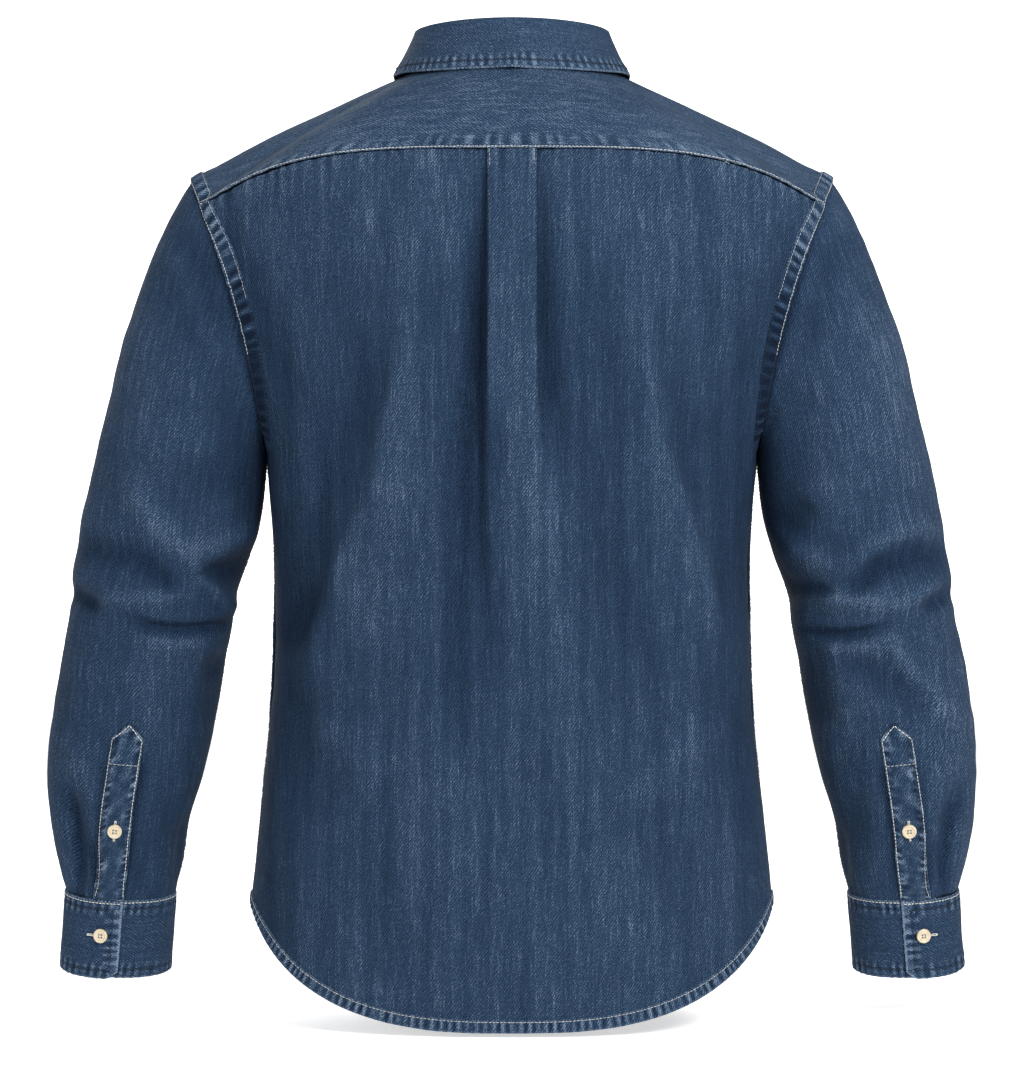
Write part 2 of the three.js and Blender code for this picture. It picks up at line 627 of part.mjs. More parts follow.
// The slit's band: u from edge to edge (-1 to 1), row up the sleeve.
function slitAngle(row) {
  return SLIT.angle - SLIT.twist * smoothstep(row, 12.8, CUFF_ROW + 0.2);
}
function slitPoint(u, row, height) {
  const middle = slitAngle(row);
  const perDegree = sleeveForm(middle + 0.5, row).distanceTo(sleeveForm(middle - 0.5, row));
  return sleevePoint(middle - (u * SLIT.halfWidth) / perDegree, row, height);
}
const slitBand = wall(
  gridOf(steps(CUFF_ROW - 0.03, SLIT.topRow, 9), steps(1, -1, 4), (row, u) => {
    const tip = 1 - smoothstep(row, SLIT.topRow, SLIT.topRow + 0.4);
    const rise = (tip * (1 - Math.abs(u)) * SLIT.point) / SLEEVE_ROW_LENGTH;
    return slitPoint(u, row - rise, CLOTH + SLIT.gap);
  }),
  CLOTH,
);
const cuff = wall(gridOf(steps(1, 0, 2), steps(1, 0, 28), (h, s) => cuffPoint(s, h)), BAND);

// ---- Buttons ----
const buttonProfile = [
  [0, 0],
  [BUTTON.radius - BUTTON.edge, 0],
  [BUTTON.radius, BUTTON.edge],
  [BUTTON.radius - BUTTON.edge, BUTTON.height],
  [BUTTON.radius - BUTTON.rim, BUTTON.height - BUTTON.dish],
  [0, BUTTON.height - BUTTON.dish],
].map(([x, y]) => new THREE.Vector2(x, y));

// A button whose back sits just off the cloth at point, facing along n.
function addButton(name, point, n, side = 1) {
  const button = addPiece(name, new THREE.LatheGeometry(buttonProfile, 10), shell);
  const facing = new THREE.Vector3(n.x * side, n.y, n.z);
  button.position.set(point.x * side, point.y, point.z).addScaledVector(facing, LAY_GAP);
  button.quaternion.setFromUnitVectors(new THREE.Vector3(0, 1, 0), facing);
}

for (let i = 0; i < FRONT_BUTTONS.count; i++) {
  const { t } = frontAtHeight(FRONT_BUTTONS.top - i * FRONT_BUTTONS.spacing);
  const v = frontShareAt(0, t);
  const n = normalOf(frontPoint, v, t, 1);
  addButton(`front_button_${i + 1}`, bandPoint(0, t, bandHeight + CLOTH / 2), n);
}
const forward = new THREE.Vector3(0, -1, 0);
const standMiddle = standPoint(COLLAR_BUTTON.turn, COLLAR_BUTTON.h);
addButton("collar_button", standMiddle.addScaledVector(forward, BAND / 2), forward);

for (const [hand, side] of [["left", 1], ["right", -1]]) {
  const placed = (geometry) => (side > 0 ? geometry : mirrored(geometry));
  addPiece(`sleeve_${hand}`, placed(sleeve), denim);
  addPiece(`sleeve_placket_${hand}`, placed(slitBand), denimBand);
  addPiece(`cuff_${hand}`, placed(cuff), denimBand);
  const slitMiddle = slitAngle(SLIT_BUTTON_ROW);
  addButton(
    `sleeve_button_${hand}`,
    slitPoint(0, SLIT_BUTTON_ROW, CLOTH * 1.5 + SLIT.gap),
    normalOf(sleeveForm, slitMiddle, SLIT_BUTTON_ROW, -1),
    side,
  );
  const cuffNormal = normalOf(cuffPoint, CUFF_BUTTON.s, CUFF_BUTTON.h, 1);
  addButton(
    `cuff_button_${hand}`,
    cuffPoint(CUFF_BUTTON.s, CUFF_BUTTON.h).addScaledVector(cuffNormal, BAND / 2),
    cuffNormal,
    side,
  );
}

export default shirt;
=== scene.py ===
"""A men's long-sleeved denim shirt, filled out as if worn, with no wearer, seen from behind.

Every piece is cloth at its real size: forms are worked out in millimetres in the part's own
frame (+Z up, the front faces -Y, +X is the wearer's left) and become metres when they are made.
"""

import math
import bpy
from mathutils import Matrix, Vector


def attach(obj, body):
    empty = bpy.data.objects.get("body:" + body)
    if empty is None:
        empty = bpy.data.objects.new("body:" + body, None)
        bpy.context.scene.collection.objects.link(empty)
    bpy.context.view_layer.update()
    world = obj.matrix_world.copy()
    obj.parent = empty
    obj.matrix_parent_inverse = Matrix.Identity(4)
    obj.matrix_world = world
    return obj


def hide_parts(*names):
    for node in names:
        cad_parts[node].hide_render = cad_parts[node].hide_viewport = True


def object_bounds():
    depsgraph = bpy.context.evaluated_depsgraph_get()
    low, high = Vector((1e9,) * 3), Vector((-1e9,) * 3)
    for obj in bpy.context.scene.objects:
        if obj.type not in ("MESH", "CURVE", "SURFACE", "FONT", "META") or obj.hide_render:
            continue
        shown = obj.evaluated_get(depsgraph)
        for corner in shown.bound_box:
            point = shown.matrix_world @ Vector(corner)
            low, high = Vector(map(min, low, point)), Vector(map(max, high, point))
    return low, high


bl_info = {
    "name": "Denim Shirt",
    "version": (1, 0, 0),
    "blender": (4, 5, 0),
    "location": "View3D > Sidebar > Shirt",
    "description": "Makes a denim shirt, sewn piece by piece, with its stitching and buttons",
    "category": "Add Mesh",
}

import bmesh
import bpy
import numpy as np
from mathutils import Matrix, Vector
from mathutils.bvhtree import BVHTree

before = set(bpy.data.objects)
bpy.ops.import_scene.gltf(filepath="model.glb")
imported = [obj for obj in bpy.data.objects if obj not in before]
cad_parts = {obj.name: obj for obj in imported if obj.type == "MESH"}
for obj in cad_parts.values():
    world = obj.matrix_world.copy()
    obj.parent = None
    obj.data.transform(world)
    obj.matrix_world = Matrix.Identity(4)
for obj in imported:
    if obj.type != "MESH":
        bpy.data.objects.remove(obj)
CAD_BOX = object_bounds()

MM = 0.001  # one millimetre, in Blender's metres
SIDES = ((1, "left"), (-1, "right"))  # the wearer's, with the sign of x there


# ------------------------------------------------------------------ tables
class Table:
    """Rows with named columns. Called with a place, it gives a smooth curve through them."""

    def __init__(self, names, *rows):
        self.names = names.split()
        self.rows = np.array(rows, float)
        at = self.rows[:, 0]
        slopes = np.diff(self.rows, axis=0) / np.diff(at)[:, None]
        middle = (slopes[1:] + slopes[:-1]) / 2
        self.slopes = np.concatenate([slopes[:1], middle, slopes[-1:]])

    def __call__(self, place):
        place = np.asarray(place, float)
        at = self.rows[:, 0]
        i = np.clip(np.searchsorted(at, place, side="right") - 1, 0, len(at) - 2)
        step = at[i + 1] - at[i]
        f = (place - at[i]) / step
        found = []
        for column in range(1, len(self.names)):
            a, b = self.rows[i, column], self.rows[i + 1, column]
            ma, mb = self.slopes[i, column] * step, self.slopes[i + 1, column] * step
            found.append(
                a * (1 + 2 * f) * (1 - f) ** 2
                + ma * f * (1 - f) ** 2
                + b * f * f * (3 - 2 * f)
                + mb * f * f * (f - 1)
            )
        return found if len(found) > 1 else found[0]


# Torso rows run from the hem (0) by the armhole's foot (4) to the yoke's seams (9).
FOOT_ROW, YOKE_ROW = 4, 9
CUFF_ROW = 15  # sleeve rows run from the armhole (0) to here

BACK_CENTRE = Table(
    "row z y",
    (0, -734, 124),
    (1, -626, 121),
    (2, -517, 115),
    (3, -409, 112),
    (4, -300, 118),
    (5, -254, 120.5),
    (6, -206, 120.5),
    (7, -156, 117),
    (8, -108, 110),
    (9, -61, 101),
)
FRONT_CENTRE = Table(
    "row z y",
    (0, -712, -117),
    (2, -508, -114),
    (4, -298, -118),
    (5, -210, -117),
    (6, -120, -101),
    (6.5, -74, -84.5),
)
FRONT_AT_HEIGHT = Table(
    "z row y", *[(z, row, y) for row, z, y in FRONT_CENTRE.rows]
)
FRONT_REACH = Table(
    "row y", (0, -117), (2, -114), (4, -118), (5, -117), (6, -101), (6.5, -92), (8, -76), (9, -58)
)
ARMHOLE = dict(top_x=252, top_z=-79, foot_x=192, foot_z=-292, back=60, front=58, bow=10)
SIDE_SEAM = Table(
    "row x z lateness",
    (0, 204, -645, 1.03),
    (1, 195, -556, 1.1),
    (2, 188, -467, 1.1),
    (3, 187, -379, 1.1),
    (4, 192, -292, 1.1),
    (9, 192, -292, 1.35),
)
# Half of the box pleat's section, from its centre outwards: x where it is folded shut, the
# layer, 0 on top, and x where it has opened out flat.
PLEAT_SECTION = Table(
    "place x layer open_x",
    (0, 0, 0, 0),
    (1, 9.5, 0, 8),
    (2, 17.6, 0, 15),
    (3, 18.8, 0.5, 20),
    (4, 17.6, 1, 25),
    (5, 4.6, 1, 30),
    (6, 3.4, 1.5, 35),
    (7, 4.6, 2, 40),
    (8, 20, 2, 45),
    (9, 36, 1.6, 51),
)
# Rings of a sleeve: its outer and inner outline, how far its middle lies back, half its
# depth, and how far its back dips.
SLEEVE = Table(
    "row out_x out_z in_x in_z mid_y depth dip",
    (0, 252, -79, 192, -292, 0, 59, 0),
    (1, 263, -97, 193.6, -299, 0, 61, 0),
    (2, 278, -128, 194.2, -307, 0, 62, 0),
    (3, 293, -168, 194.8, -316, 0, 63, 0),
    (4, 306, -212, 195.6, -327, -1, 63, 0),
    (5, 319, -260, 198, -342, -2, 62, 0),
    (6, 330, -305, 203, -360, -4, 60, 1),
    (7, 340, -350, 211, -384, -6, 59, 1),
    (8, 347, -388, 219, -408, -9, 58, 2),
    (9, 349, -412, 222.5, -430, -12, 57, 3),
    (10, 354.5, -438, 226, -450, -16, 56, 4),
    (11, 362.5, -484, 234, -495, -24, 54, 5),
    (12, 368.5, -534.5, 246, -546, -32, 51, 6),
    (13, 368.5, -575.5, 257, -581.5, -38, 47, 6),
    (14, 362, -614.5, 263, -617.5, -43, 41, 6),
    (15, 355.5, -638, 269.5, -641, -46, 36, 6),
)
# The upper arm's axis and the way square to it outwards, from where it starts.
SLEEVE_TOP = np.array([222.0, 0.0, -130.0])
SLEEVE_AXIS = np.array([0.174, 0.0, -0.985])
SLEEVE_SIDE = np.array([0.985, 0.0, 0.174])
LEAF_EDGE = Table(
    "turn x y z",
    (0, 0, 74, 4),
    (40, 61, 54, 3.5),
    (75, 91.5, 14, 5),
    (100, 95, -30, 1.5),
    (130, 88, -78, -40),
    (155, 72, -101, -83),
    (171, 58, -110, -108),
)

NECK = dict(half_width=78, mid_y=-11, half_depth=73, z=8, front_drop=80)
YOKE = dict(back_angle=36, front_angle=-38, neck_back=68, neck_front=115, bulge=14,
            back_bulge=12, roll=112, roll_z=-110)
FULLNESS = 0.035
CLOSURE = dict(half=17.5, neck_row=6.5, lap=1.9, lap_fade=45, round=180)
PLEAT = dict(top_spacing=1.3, spacing=1.9, closed_above=5.6, open_below=3.7)
STAND = dict(height=33, side_dip=2.5, top_half_width=69.5, top_mid_y=-17, top_half_depth=67,
             end=190, lift=1.9, lap=1.25)
LEAF = dict(end=171, fold=3, bow=2, seam=0.12, rise=1.6, spread=3)
CUFF = dict(height=61, lean=5, forward=8, overlap=38, edge=95.5, layer=1.35, outset=0.6)
SLIT = dict(top_row=11.4, half_width=12.3, point=10, angle=91.5, twist=10.5, row_length=45,
            top_row_length=36)
BUTTON = dict(radius=5.7, height=2.6, rim=1.7, dish=0.7, hole=0.85, spread=1.55,
              lift=0.45)
FRONT_BUTTONS = dict(top=-118, spacing=92, count=6)
SLIT_BUTTON_ROW = 13.12
CUFF_BUTTON = dict(s=0.049, h=0.45)
WALL = 1.2  # the frame's wall for one panel; a panel's outer face lies half of it out
DOUBLED = 2.0  # and its wall for the collar, the stand and the cuffs
BAND_WALL, SEAM_WALL = 1.3, 1.0
HEM_WIDTH, FELL_WIDTH, ARMHOLE_WIDTH = 9.5, 7.5, 12.4
LINE_SPACING = 1.3  # between the points of a line that a seam or a row of stitches follows
STITCH = dict(length=2.6, gap=0.35)
EDGE_STITCH = 6.2  # how far in from a doubled piece's edge its row of stitches runs
# A shrunken seam's gathers: the length of one along the seam, and its seed.
YOKE_GATHERS = dict(pitch=9.6, seed=31)
PLEAT_GATHERS = dict(pitch=8.4, seed=35, reach=30)
BAND_GATHERS = dict(pitch=8.5, seed=61)
SLIT_GATHERS = dict(pitch=7.2, seed=110)
# The armhole's two rows of stitches: how far in from its outer edge, how thick, and the
# height below which the thread is dark, as painted shade where the sleeve hangs over the seam.
ARMHOLE_STITCHES = (
    dict(inset=0.6, thickness=0.38, foot=-218),
    dict(inset=ARMHOLE_WIDTH - 1.7, thickness=0.26, foot=-175),
)


# ------------------------------------------------------------------ small mathematics
def vec(x, y, z):
    return np.stack(np.broadcast_arrays(x, y, z), -1).astype(float)


def lerp(a, b, f):
    return a + (b - a) * f


def smooth(x, low, high):
    """0 below low and 1 above high, with a soft step between."""
    f = np.clip((x - low) / (high - low), 0, 1)
    return f * f * (3 - 2 * f)


def unit(v):
    return v / np.maximum(np.linalg.norm(v, axis=-1, keepdims=True), 1e-9)


def cosd(a):
    return np.cos(np.radians(a))


def sind(a):
    return np.sin(np.radians(a))


def normal_of(form, p, q, sense):
    """A form's outward normal, from two short steps along it."""
    e = 1e-3
    dp = form(p + e, q) - form(p - e, q)
    dq = form(p, q + e) - form(p, q - e)
    return unit(np.cross(dp, dq)) * sense


def ripple(u, v, length, seed, count=14, lean=0.0):
    """A smooth random surface between about -1 and 1, with swells about length long.
    lean from 0 to 1 draws the swells out along v."""
    rng = np.random.default_rng(seed)
    total = 0
    for _ in range(count):
        a = rng.uniform(0, math.tau)
        k = math.tau / length * rng.uniform(0.6, 1.5)
        phase = rng.uniform(0, math.tau)
        total = total + np.cos(k * (u * math.cos(a) + v * math.sin(a) * (1 - lean)) + phase)
    return total / math.sqrt(count) / 1.4


def puckers(along, pitch, seed):
    """The uneven gathers of a shrunken seam, between about -1 and 1, in mm along it."""
    shift = 0.6 * ripple(along, 0 * along, pitch * 5, seed, 8)
    strength = 0.72 + 0.6 * ripple(along, 0 * along, pitch * 3.4, seed + 1, 8)
    return np.sin(math.tau * along / pitch + 3.0 * shift) * np.clip(strength, 0.1, 1.35)


class Folds:
    """Soft ridges (height above 0) and troughs on a panel, each from one point to another.
    bow bends the fold sideways, skew, -1 to 1, makes one of its flanks steeper, and taper is
    how many times as wide it ends as it starts."""

    def __init__(self, names, *rows):
        self.rows = [dict(zip(names.split(), row)) for row in rows]

    def height(self, a, b):
        total = np.zeros(np.broadcast(a, b).shape)
        for f in self.rows:
            da, db = f["to_a"] - f["a"], f["to_b"] - f["b"]
            length = math.hypot(da, db)
            along = ((a - f["a"]) * da + (b - f["b"]) * db) / length**2
            off = ((a - f["a"]) * db - (b - f["b"]) * da) / length
            off = off - f["bow"] * 4 * along * (1 - along)
            width = f["width"] * (1 + f["skew"] * np.tanh(2 * off / f["width"]))
            width = width * lerp(1, f.get("taper", 1), np.clip(along, 0, 1))
            ends = smooth(along, -0.22, 0.25) * (1 - smooth(along, 0.75, 1.22))
            total = total + f["height"] * np.exp(-((off / width) ** 2)) * ends
        return total


# ------------------------------------------------------------------ the frame's forms
def armhole(degrees):
    """The armhole on the wearer's left: degrees from its top over the back."""
    c, s = cosd(degrees), sind(degrees)
    half_x = (ARMHOLE["top_x"] - ARMHOLE["foot_x"]) / 2
    half_z = (ARMHOLE["top_z"] - ARMHOLE["foot_z"]) / 2
    return vec(
        ARMHOLE["foot_x"] + half_x * (1 + c) - ARMHOLE["bow"] * s * s,
        np.where(s > 0, ARMHOLE["back"], ARMHOLE["front"]) * s,
        ARMHOLE["foot_z"] + half_z * (1 + c),
    )


def neckline(turn):
    """The neckline: degrees from the centre back by the wearer's left to the front."""
    c = cosd(turn)
    drop = np.where(c < 0, NECK["front_drop"] * c * c, 0)
    return vec(NECK["half_width"] * sind(turn), NECK["mid_y"] + NECK["half_depth"] * c,
               NECK["z"] - drop)


def neck_edge(turn):
    """The neckline with its ends run on level past the centre front."""
    a = np.abs(turn)
    p = neckline(np.minimum(a, 180))
    p[..., 0] = NECK["half_width"] * sind(turn)
    p[..., 2] -= np.maximum(a - 180, 0) / 10
    return p


def row_end(row, yoke_angle):
    """The outer end of a torso row: up the side seam, then up the armhole to the yoke."""
    up = (np.asarray(row, float) - FOOT_ROW) / (YOKE_ROW - FOOT_ROW)
    on_armhole = armhole(lerp(180 * np.sign(yoke_angle), yoke_angle, np.maximum(up, 0)))
    x, z, _ = SIDE_SEAM(row)
    return np.where((up > 0)[..., None], on_armhole, vec(x, 0, z))


def rise(v, lateness):
    """How far a row has risen from its centre's height to its end's."""
    w = np.maximum(v, 0) ** lateness
    return w**3 * (4 - 3 * w)


def corner(turn):
    """How much fuller than an oval the body is, between its back and its side."""
    return 1 + FULLNESS * np.sin(2 * turn) ** 2


def back_form(across, row):
    """The back without its pleat and folds: across is -1 to 1 from side to side."""
    centre_z, centre_y = BACK_CENTRE(row)
    end = row_end(row, YOKE["back_angle"])
    v = np.abs(across)
    turn = np.arccos(np.clip(end[..., 1] / centre_y, 0, 1))
    a = v * turn
    end_depth = np.cos(turn) * corner(turn)
    depth = (np.cos(a) * corner(a) - end_depth) / (1 - end_depth)
    x = end[..., 0] * np.sin(a) * corner(a) / (np.sin(turn) * corner(turn))
    z = lerp(centre_z, end[..., 2], rise(v, SIDE_SEAM(row)[2]))
    return vec(x * np.sign(across), lerp(end[..., 1], centre_y, depth), z)


def across_at(x, row):
    """Where a distance from the centre back lies on a torso row."""
    end = row_end(row, YOKE["back_angle"])
    turn = np.arccos(np.clip(end[..., 1] / BACK_CENTRE(row)[1], 0, 1))
    return np.arcsin(x * np.sin(turn) / end[..., 0]) / turn


def yoke_form(turn, r):
    """The yoke: degrees round the neck, r from the neckline (0) outwards (1)."""
    a = np.abs(turn)
    inner = neckline(a)
    share = (a - YOKE["neck_back"]) / (YOKE["neck_front"] - YOKE["neck_back"])
    on_back = back_form(np.clip(a / YOKE["neck_back"], 0, 1), np.full(np.shape(a), float(YOKE_ROW)))
    on_arm = armhole(lerp(YOKE["back_angle"], YOKE["front_angle"], np.maximum(share, 0)))
    outer = np.where((share < 0)[..., None], on_back, on_arm)
    chord = outer - inner
    height = YOKE["bulge"] + YOKE["back_bulge"] * cosd(np.minimum(a, 90)) ** 2
    up = unit(np.cross(neckline(a + 1) - neckline(a - 1), chord))
    r = np.asarray(r, float)
    p = inner + chord * r[..., None] + up * (height * r * (1 - r) * (0.5 + r))[..., None]
    p[..., 0] *= np.where(turn < 0, -1, 1)
    return p


def neck_share(row):
    """How far a front's row is from the closure's top (0) to the yoke (1)."""
    return (row - CLOSURE["neck_row"]) / (YOKE_ROW - CLOSURE["neck_row"])


def front_inner(row):
    """The inner edge of the wearer's left front: the closure, then round the neckline."""
    z, y = FRONT_CENTRE(row)
    start = 180 + math.degrees(math.asin(CLOSURE["half"] / NECK["half_width"]))
    on_neck = neck_edge(lerp(start, YOKE["neck_front"], np.maximum(neck_share(row), 0)))
    return np.where((row < CLOSURE["neck_row"])[..., None], vec(-CLOSURE["half"], y, z), on_neck)


def front_form(v, row):
    """The wearer's left front: v from its inner edge (0) to its outer end (1)."""
    v, row = np.broadcast_arrays(np.asarray(v, float), np.asarray(row, float))
    end, inner = row_end(row, YOKE["front_angle"]), front_inner(row)
    reach = FRONT_REACH(row)
    turn = np.arccos(np.clip(end[..., 1] / reach, 0, 1))
    wide = end[..., 0] / (np.sin(turn) * corner(turn))
    inner_turn = np.arcsin(inner[..., 0] / wide)

    def at(a):
        return vec(wide * np.sin(a) * corner(a), reach * np.cos(a) * corner(a), 0)

    p = at(lerp(inner_turn, turn, v))
    p += (inner * (1, 1, 0) - at(inner_turn)) * ((1 - v) ** 2)[..., None]
    p += (end * (1, 1, 0) - at(turn)) * (v * v)[..., None]
    p[..., 2] = lerp(inner[..., 2], end[..., 2], rise(v, SIDE_SEAM(row)[2]))
    return p


def front_point(v, row):
    """The front, turned into the yoke's edge above the neckline's foot. Near the closure its
    depth hangs on x and z alone, so that both fronts share one surface there."""
    v, row = np.broadcast_arrays(np.asarray(v, float), np.asarray(row, float))
    miss = yoke_form(np.full(v.shape, float(YOKE["neck_front"])), v)
    miss = miss - front_form(v, np.full(v.shape, float(YOKE_ROW)))
    p = front_form(v, row) + miss * (np.clip(neck_share(row), 0, 1) ** 1.5)[..., None]
    shared = FRONT_AT_HEIGHT(p[..., 2])[1] + p[..., 0] ** 2 / (2 * CLOSURE["round"])
    away = smooth(np.abs(p[..., 0]), CLOSURE["half"] + 2, CLOSURE["half"] + CLOSURE["lap_fade"])
    p[..., 1] = lerp(shared, p[..., 1], away)
    return p


def sleeve_form(degrees, row):
    """The wearer's left sleeve: degrees from its outer line over its back."""
    out_x, out_z, in_x, in_z, mid_y, depth, dip = SLEEVE(row)
    c, s = cosd(degrees), sind(degrees)
    p = vec(
        (out_x + in_x) / 2 + (out_x - in_x) / 2 * c,
        mid_y + depth * s,
        (out_z + in_z) / 2 + (out_z - in_z) / 2 * c - dip * s,
    )
    start = np.clip(1 - row, 0, 1) ** 2
    return p + (armhole(degrees) - p) * (start + 0 * c)[..., None]


def stand_form(turn, h):
    """The collar stand: h from its foot (0) to its top (1). Its left end laps the right."""
    s, c = sind(turn), cosd(turn)
    foot = neckline(turn)
    top = vec(STAND["top_half_width"] * s, STAND["top_mid_y"] + STAND["top_half_depth"] * c,
              foot[..., 2] + STAND["height"] - STAND["side_dip"] * s * s)
    lap = np.sign(turn) * STAND["lap"] * smooth(np.abs(turn), 135, LEAF["end"])
    h = np.asarray(h, float)
    p = foot + (top - foot) * (h + 0 * s)[..., None]
    return p + vec(s * lap, c * lap, STAND["lift"] * (1 - h))


def leaf_form(turn, r):
    """The collar leaf: r from its seam on the stand over the fold to its edge (1)."""
    turn, r = np.broadcast_arrays(np.asarray(turn, float), np.asarray(r, float))
    side = np.where(turn < 0, -1.0, 1.0)
    out = vec(sind(turn), cosd(turn), 0)
    bend = np.pi * np.minimum(r / LEAF["seam"], 1)
    fold = stand_form(turn, np.ones(turn.shape)) + vec(0, 0, LEAF["rise"])
    fold += out * (LEAF["fold"] * (1 - np.cos(bend)))[..., None]
    fold[..., 2] += LEAF["fold"] * np.sin(bend)
    fold[..., 0] += LEAF["spread"] * (1 - np.cos(bend)) / 2 * sind(turn)
    x, y, z = LEAF_EDGE(np.abs(turn))
    f = np.clip((r - LEAF["seam"]) / (1 - LEAF["seam"]), 0, 1)
    chord = vec(x * side, y, z) - fold
    hang = f - 0.35 * f * (1 - f)
    fold += chord * np.stack([hang, hang, f], -1)
    return fold + out * (LEAF["bow"] * f * (1 - f))[..., None]


def cuff_form(s, h):
    """The cuff's strip: s from its upper end (0) round the wrist to the end underneath (1),
    h from its top (0) to its bottom (1)."""
    s, h = np.broadcast_arrays(np.asarray(s, float), np.asarray(h, float))
    degrees = CUFF["edge"] - (360 + CUFF["overlap"]) * s
    row = np.full(s.shape, float(CUFF_ROW))
    layer = 1 - smooth(s, 0.08, 0.3) - smooth(s, 0.7, 0.92)
    n = normal_of(sleeve_form, degrees, row - 0.1, -1)
    p = sleeve_form(degrees, row) + n * (CUFF["outset"] + CUFF["layer"] * layer)[..., None]
    return p + vec(CUFF["lean"] * h, -CUFF["forward"] * h, -0.9 - CUFF["height"] * h)


# ------------------------------------------------------------------ cloth as mesh
def tightened(grid):
    """The grid with one more row and column just inside each edge, to keep the edges crisp."""
    for axis in (0, 1):
        grid = np.moveaxis(grid, axis, 0)
        first, last = lerp(grid[:1], grid[1:2], 0.15), lerp(grid[-1:], grid[-2:-1], 0.15)
        grid = np.concatenate([grid[:1], first, grid[1:-1], last, grid[-1:]])
        grid = np.moveaxis(grid, 0, axis)
    return grid


SKINS = {}  # the outer faces of the pieces made so far, in mm, to lay seams and stitches on


def walled(outer, thickness, centred):
    """A closed wall under a grid of points on its outer face or, when it is centred, in its
    middle. Returns its points, which are the outer face's, the inner's and the rim's, its
    faces, the outer faces alone, and which points of the grid the rim goes round."""
    rows, columns = outer.shape[:2]
    across, along = np.gradient(outer, axis=1), np.gradient(outer, axis=0)
    normal = unit(np.cross(across, along))
    if centred:
        outer = outer + normal * (thickness / 2)
    inner = outer - normal * thickness
    index = np.arange(rows * columns).reshape(rows, columns)
    quads = np.stack([index[:-1, :-1], index[:-1, 1:], index[1:, 1:], index[1:, :-1]], -1)
    quads = quads.reshape(-1, 4)
    loop = np.concatenate([index[0, :-1], index[:-1, -1], index[-1, :0:-1], index[:0:-1, 0]])
    away = np.zeros(outer.shape)
    away[0] -= unit(along[0])
    away[-1] += unit(along[-1])
    away[:, 0] -= unit(across[:, 0])
    away[:, -1] += unit(across[:, -1])
    away = unit(away.reshape(-1, 3)[loop])
    outer, inner = outer.reshape(-1, 3), inner.reshape(-1, 3)
    rim = (outer[loop] + inner[loop]) / 2 + away * 0.4 * thickness
    size = rows * columns
    middle = 2 * size + np.arange(len(loop))
    step, middle_step = np.roll(loop, -1), np.roll(middle, -1)
    sides = [
        np.stack([step, loop, middle, middle_step], -1),
        np.stack([middle_step, middle, loop + size, step + size], -1),
    ]
    faces = np.concatenate([quads, quads[:, ::-1] + size, *sides])
    return np.concatenate([outer, inner, rim]), faces, quads, loop


def sew(name, nodes, material, outer, right, up, wear=0.0, thickness=WALL, mirror=False,
        crosswise=False, edge_wear=0.3, centred=False):
    """A piece of cloth, from a grid of points in mm. Columns go to the right and rows up, seen
    from outside. right and up are each point's place on the cloth, in mm, and a crosswise
    piece has its warp lying level. The tone given as wear goes from -1, dark, to 1, pale, and
    holds the denim's own paling together with painted light and shade; edge_wear is added
    along the edges. nodes are those that the piece stands for."""
    parts = np.broadcast_arrays(right, up, wear, outer[..., 0])
    packed = np.concatenate([outer, np.stack(parts[:3], -1)], -1)
    if mirror:
        packed = packed[:, ::-1] * (-1, 1, 1, -1, 1, 1)
    packed = tightened(packed)
    right, up, wear = packed[..., 3], packed[..., 4], packed[..., 5].copy()
    weft, warp = (up, -right) if crosswise else (right, up)
    wear[:2] += edge_wear
    wear[-2:] += edge_wear
    wear[2:-2, :2] += edge_wear
    wear[2:-2, -2:] += edge_wear
    points, faces, outer_faces, loop = walled(packed[..., :3], thickness, centred)
    mesh = new_mesh(name, points * MM, faces, sharp=55)
    place = np.stack([weft * MM, warp * MM, 0 * weft], -1).reshape(-1, 3)
    cloth = np.concatenate([place, place + (0, 0, 1), place[loop]]).astype(np.float32)
    mesh.attributes.new("cloth", "FLOAT_VECTOR", "POINT").data.foreach_set("vector", cloth.ravel())
    wear = wear.reshape(-1)
    worn_and_shaded = np.concatenate([wear, wear * 0.3, wear[loop]]).astype(np.float32)
    # this attribute holds the denim's own paling and painted light and shade together
    mesh.attributes.new("wear", "FLOAT", "POINT").data.foreach_set("value", worn_and_shaded)
    SKINS[name] = BVHTree.FromPolygons(points[:wear.size].tolist(), outer_faces.tolist())
    piece = placed(mesh, bpy.data.materials[material])
    if nodes:
        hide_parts(*nodes.split())
    return piece


def new_mesh(name, points, quads, sharp):
    """A smooth mesh of four-sided faces, with edges sharper than a number of degrees kept."""
    mesh = bpy.data.meshes.new(name)
    mesh.vertices.add(len(points))
    mesh.vertices.foreach_set("co", points.astype(np.float32).ravel())
    mesh.loops.add(quads.size)
    mesh.loops.foreach_set("vertex_index", quads.astype(np.int32).ravel())
    mesh.polygons.add(len(quads))
    mesh.polygons.foreach_set("loop_start", np.arange(0, quads.size, 4, dtype=np.int32))
    mesh.update(calc_edges=True)
    mesh.polygons.foreach_set("use_smooth", np.ones(len(quads), bool))
    mesh.set_sharp_from_angle(angle=math.radians(sharp))
    if mesh.validate():
        raise RuntimeError(f"{name}: its faces aren't sound")
    return mesh


def placed(mesh, material):
    """The mesh as an object of the shirt, with its material."""
    piece = bpy.data.objects.new(mesh.name, mesh)
    bpy.context.scene.collection.objects.link(piece)
    mesh.materials.append(material)
    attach(piece, "root")
    return piece


def horizontal_arc(points, plain=0.0):
    """Length along each row of a grid seen from above, from its middle column. Within plain of
    the middle only the way across counts, so that the yarns run straight over a pleat."""
    x = points[..., 0]
    steps = np.linalg.norm(np.diff(points[..., :2], axis=1), axis=-1)
    straight = np.diff(x, axis=1) * np.sign(x[:, -1:] - x[:, :1])
    steps = np.where(np.abs(x[:, 1:] + x[:, :-1]) < 2 * plain, straight, steps)
    arc = np.concatenate([np.zeros((len(points), 1)), np.cumsum(steps, axis=1)], axis=1)
    return arc - arc[:, points.shape[1] // 2][:, None]


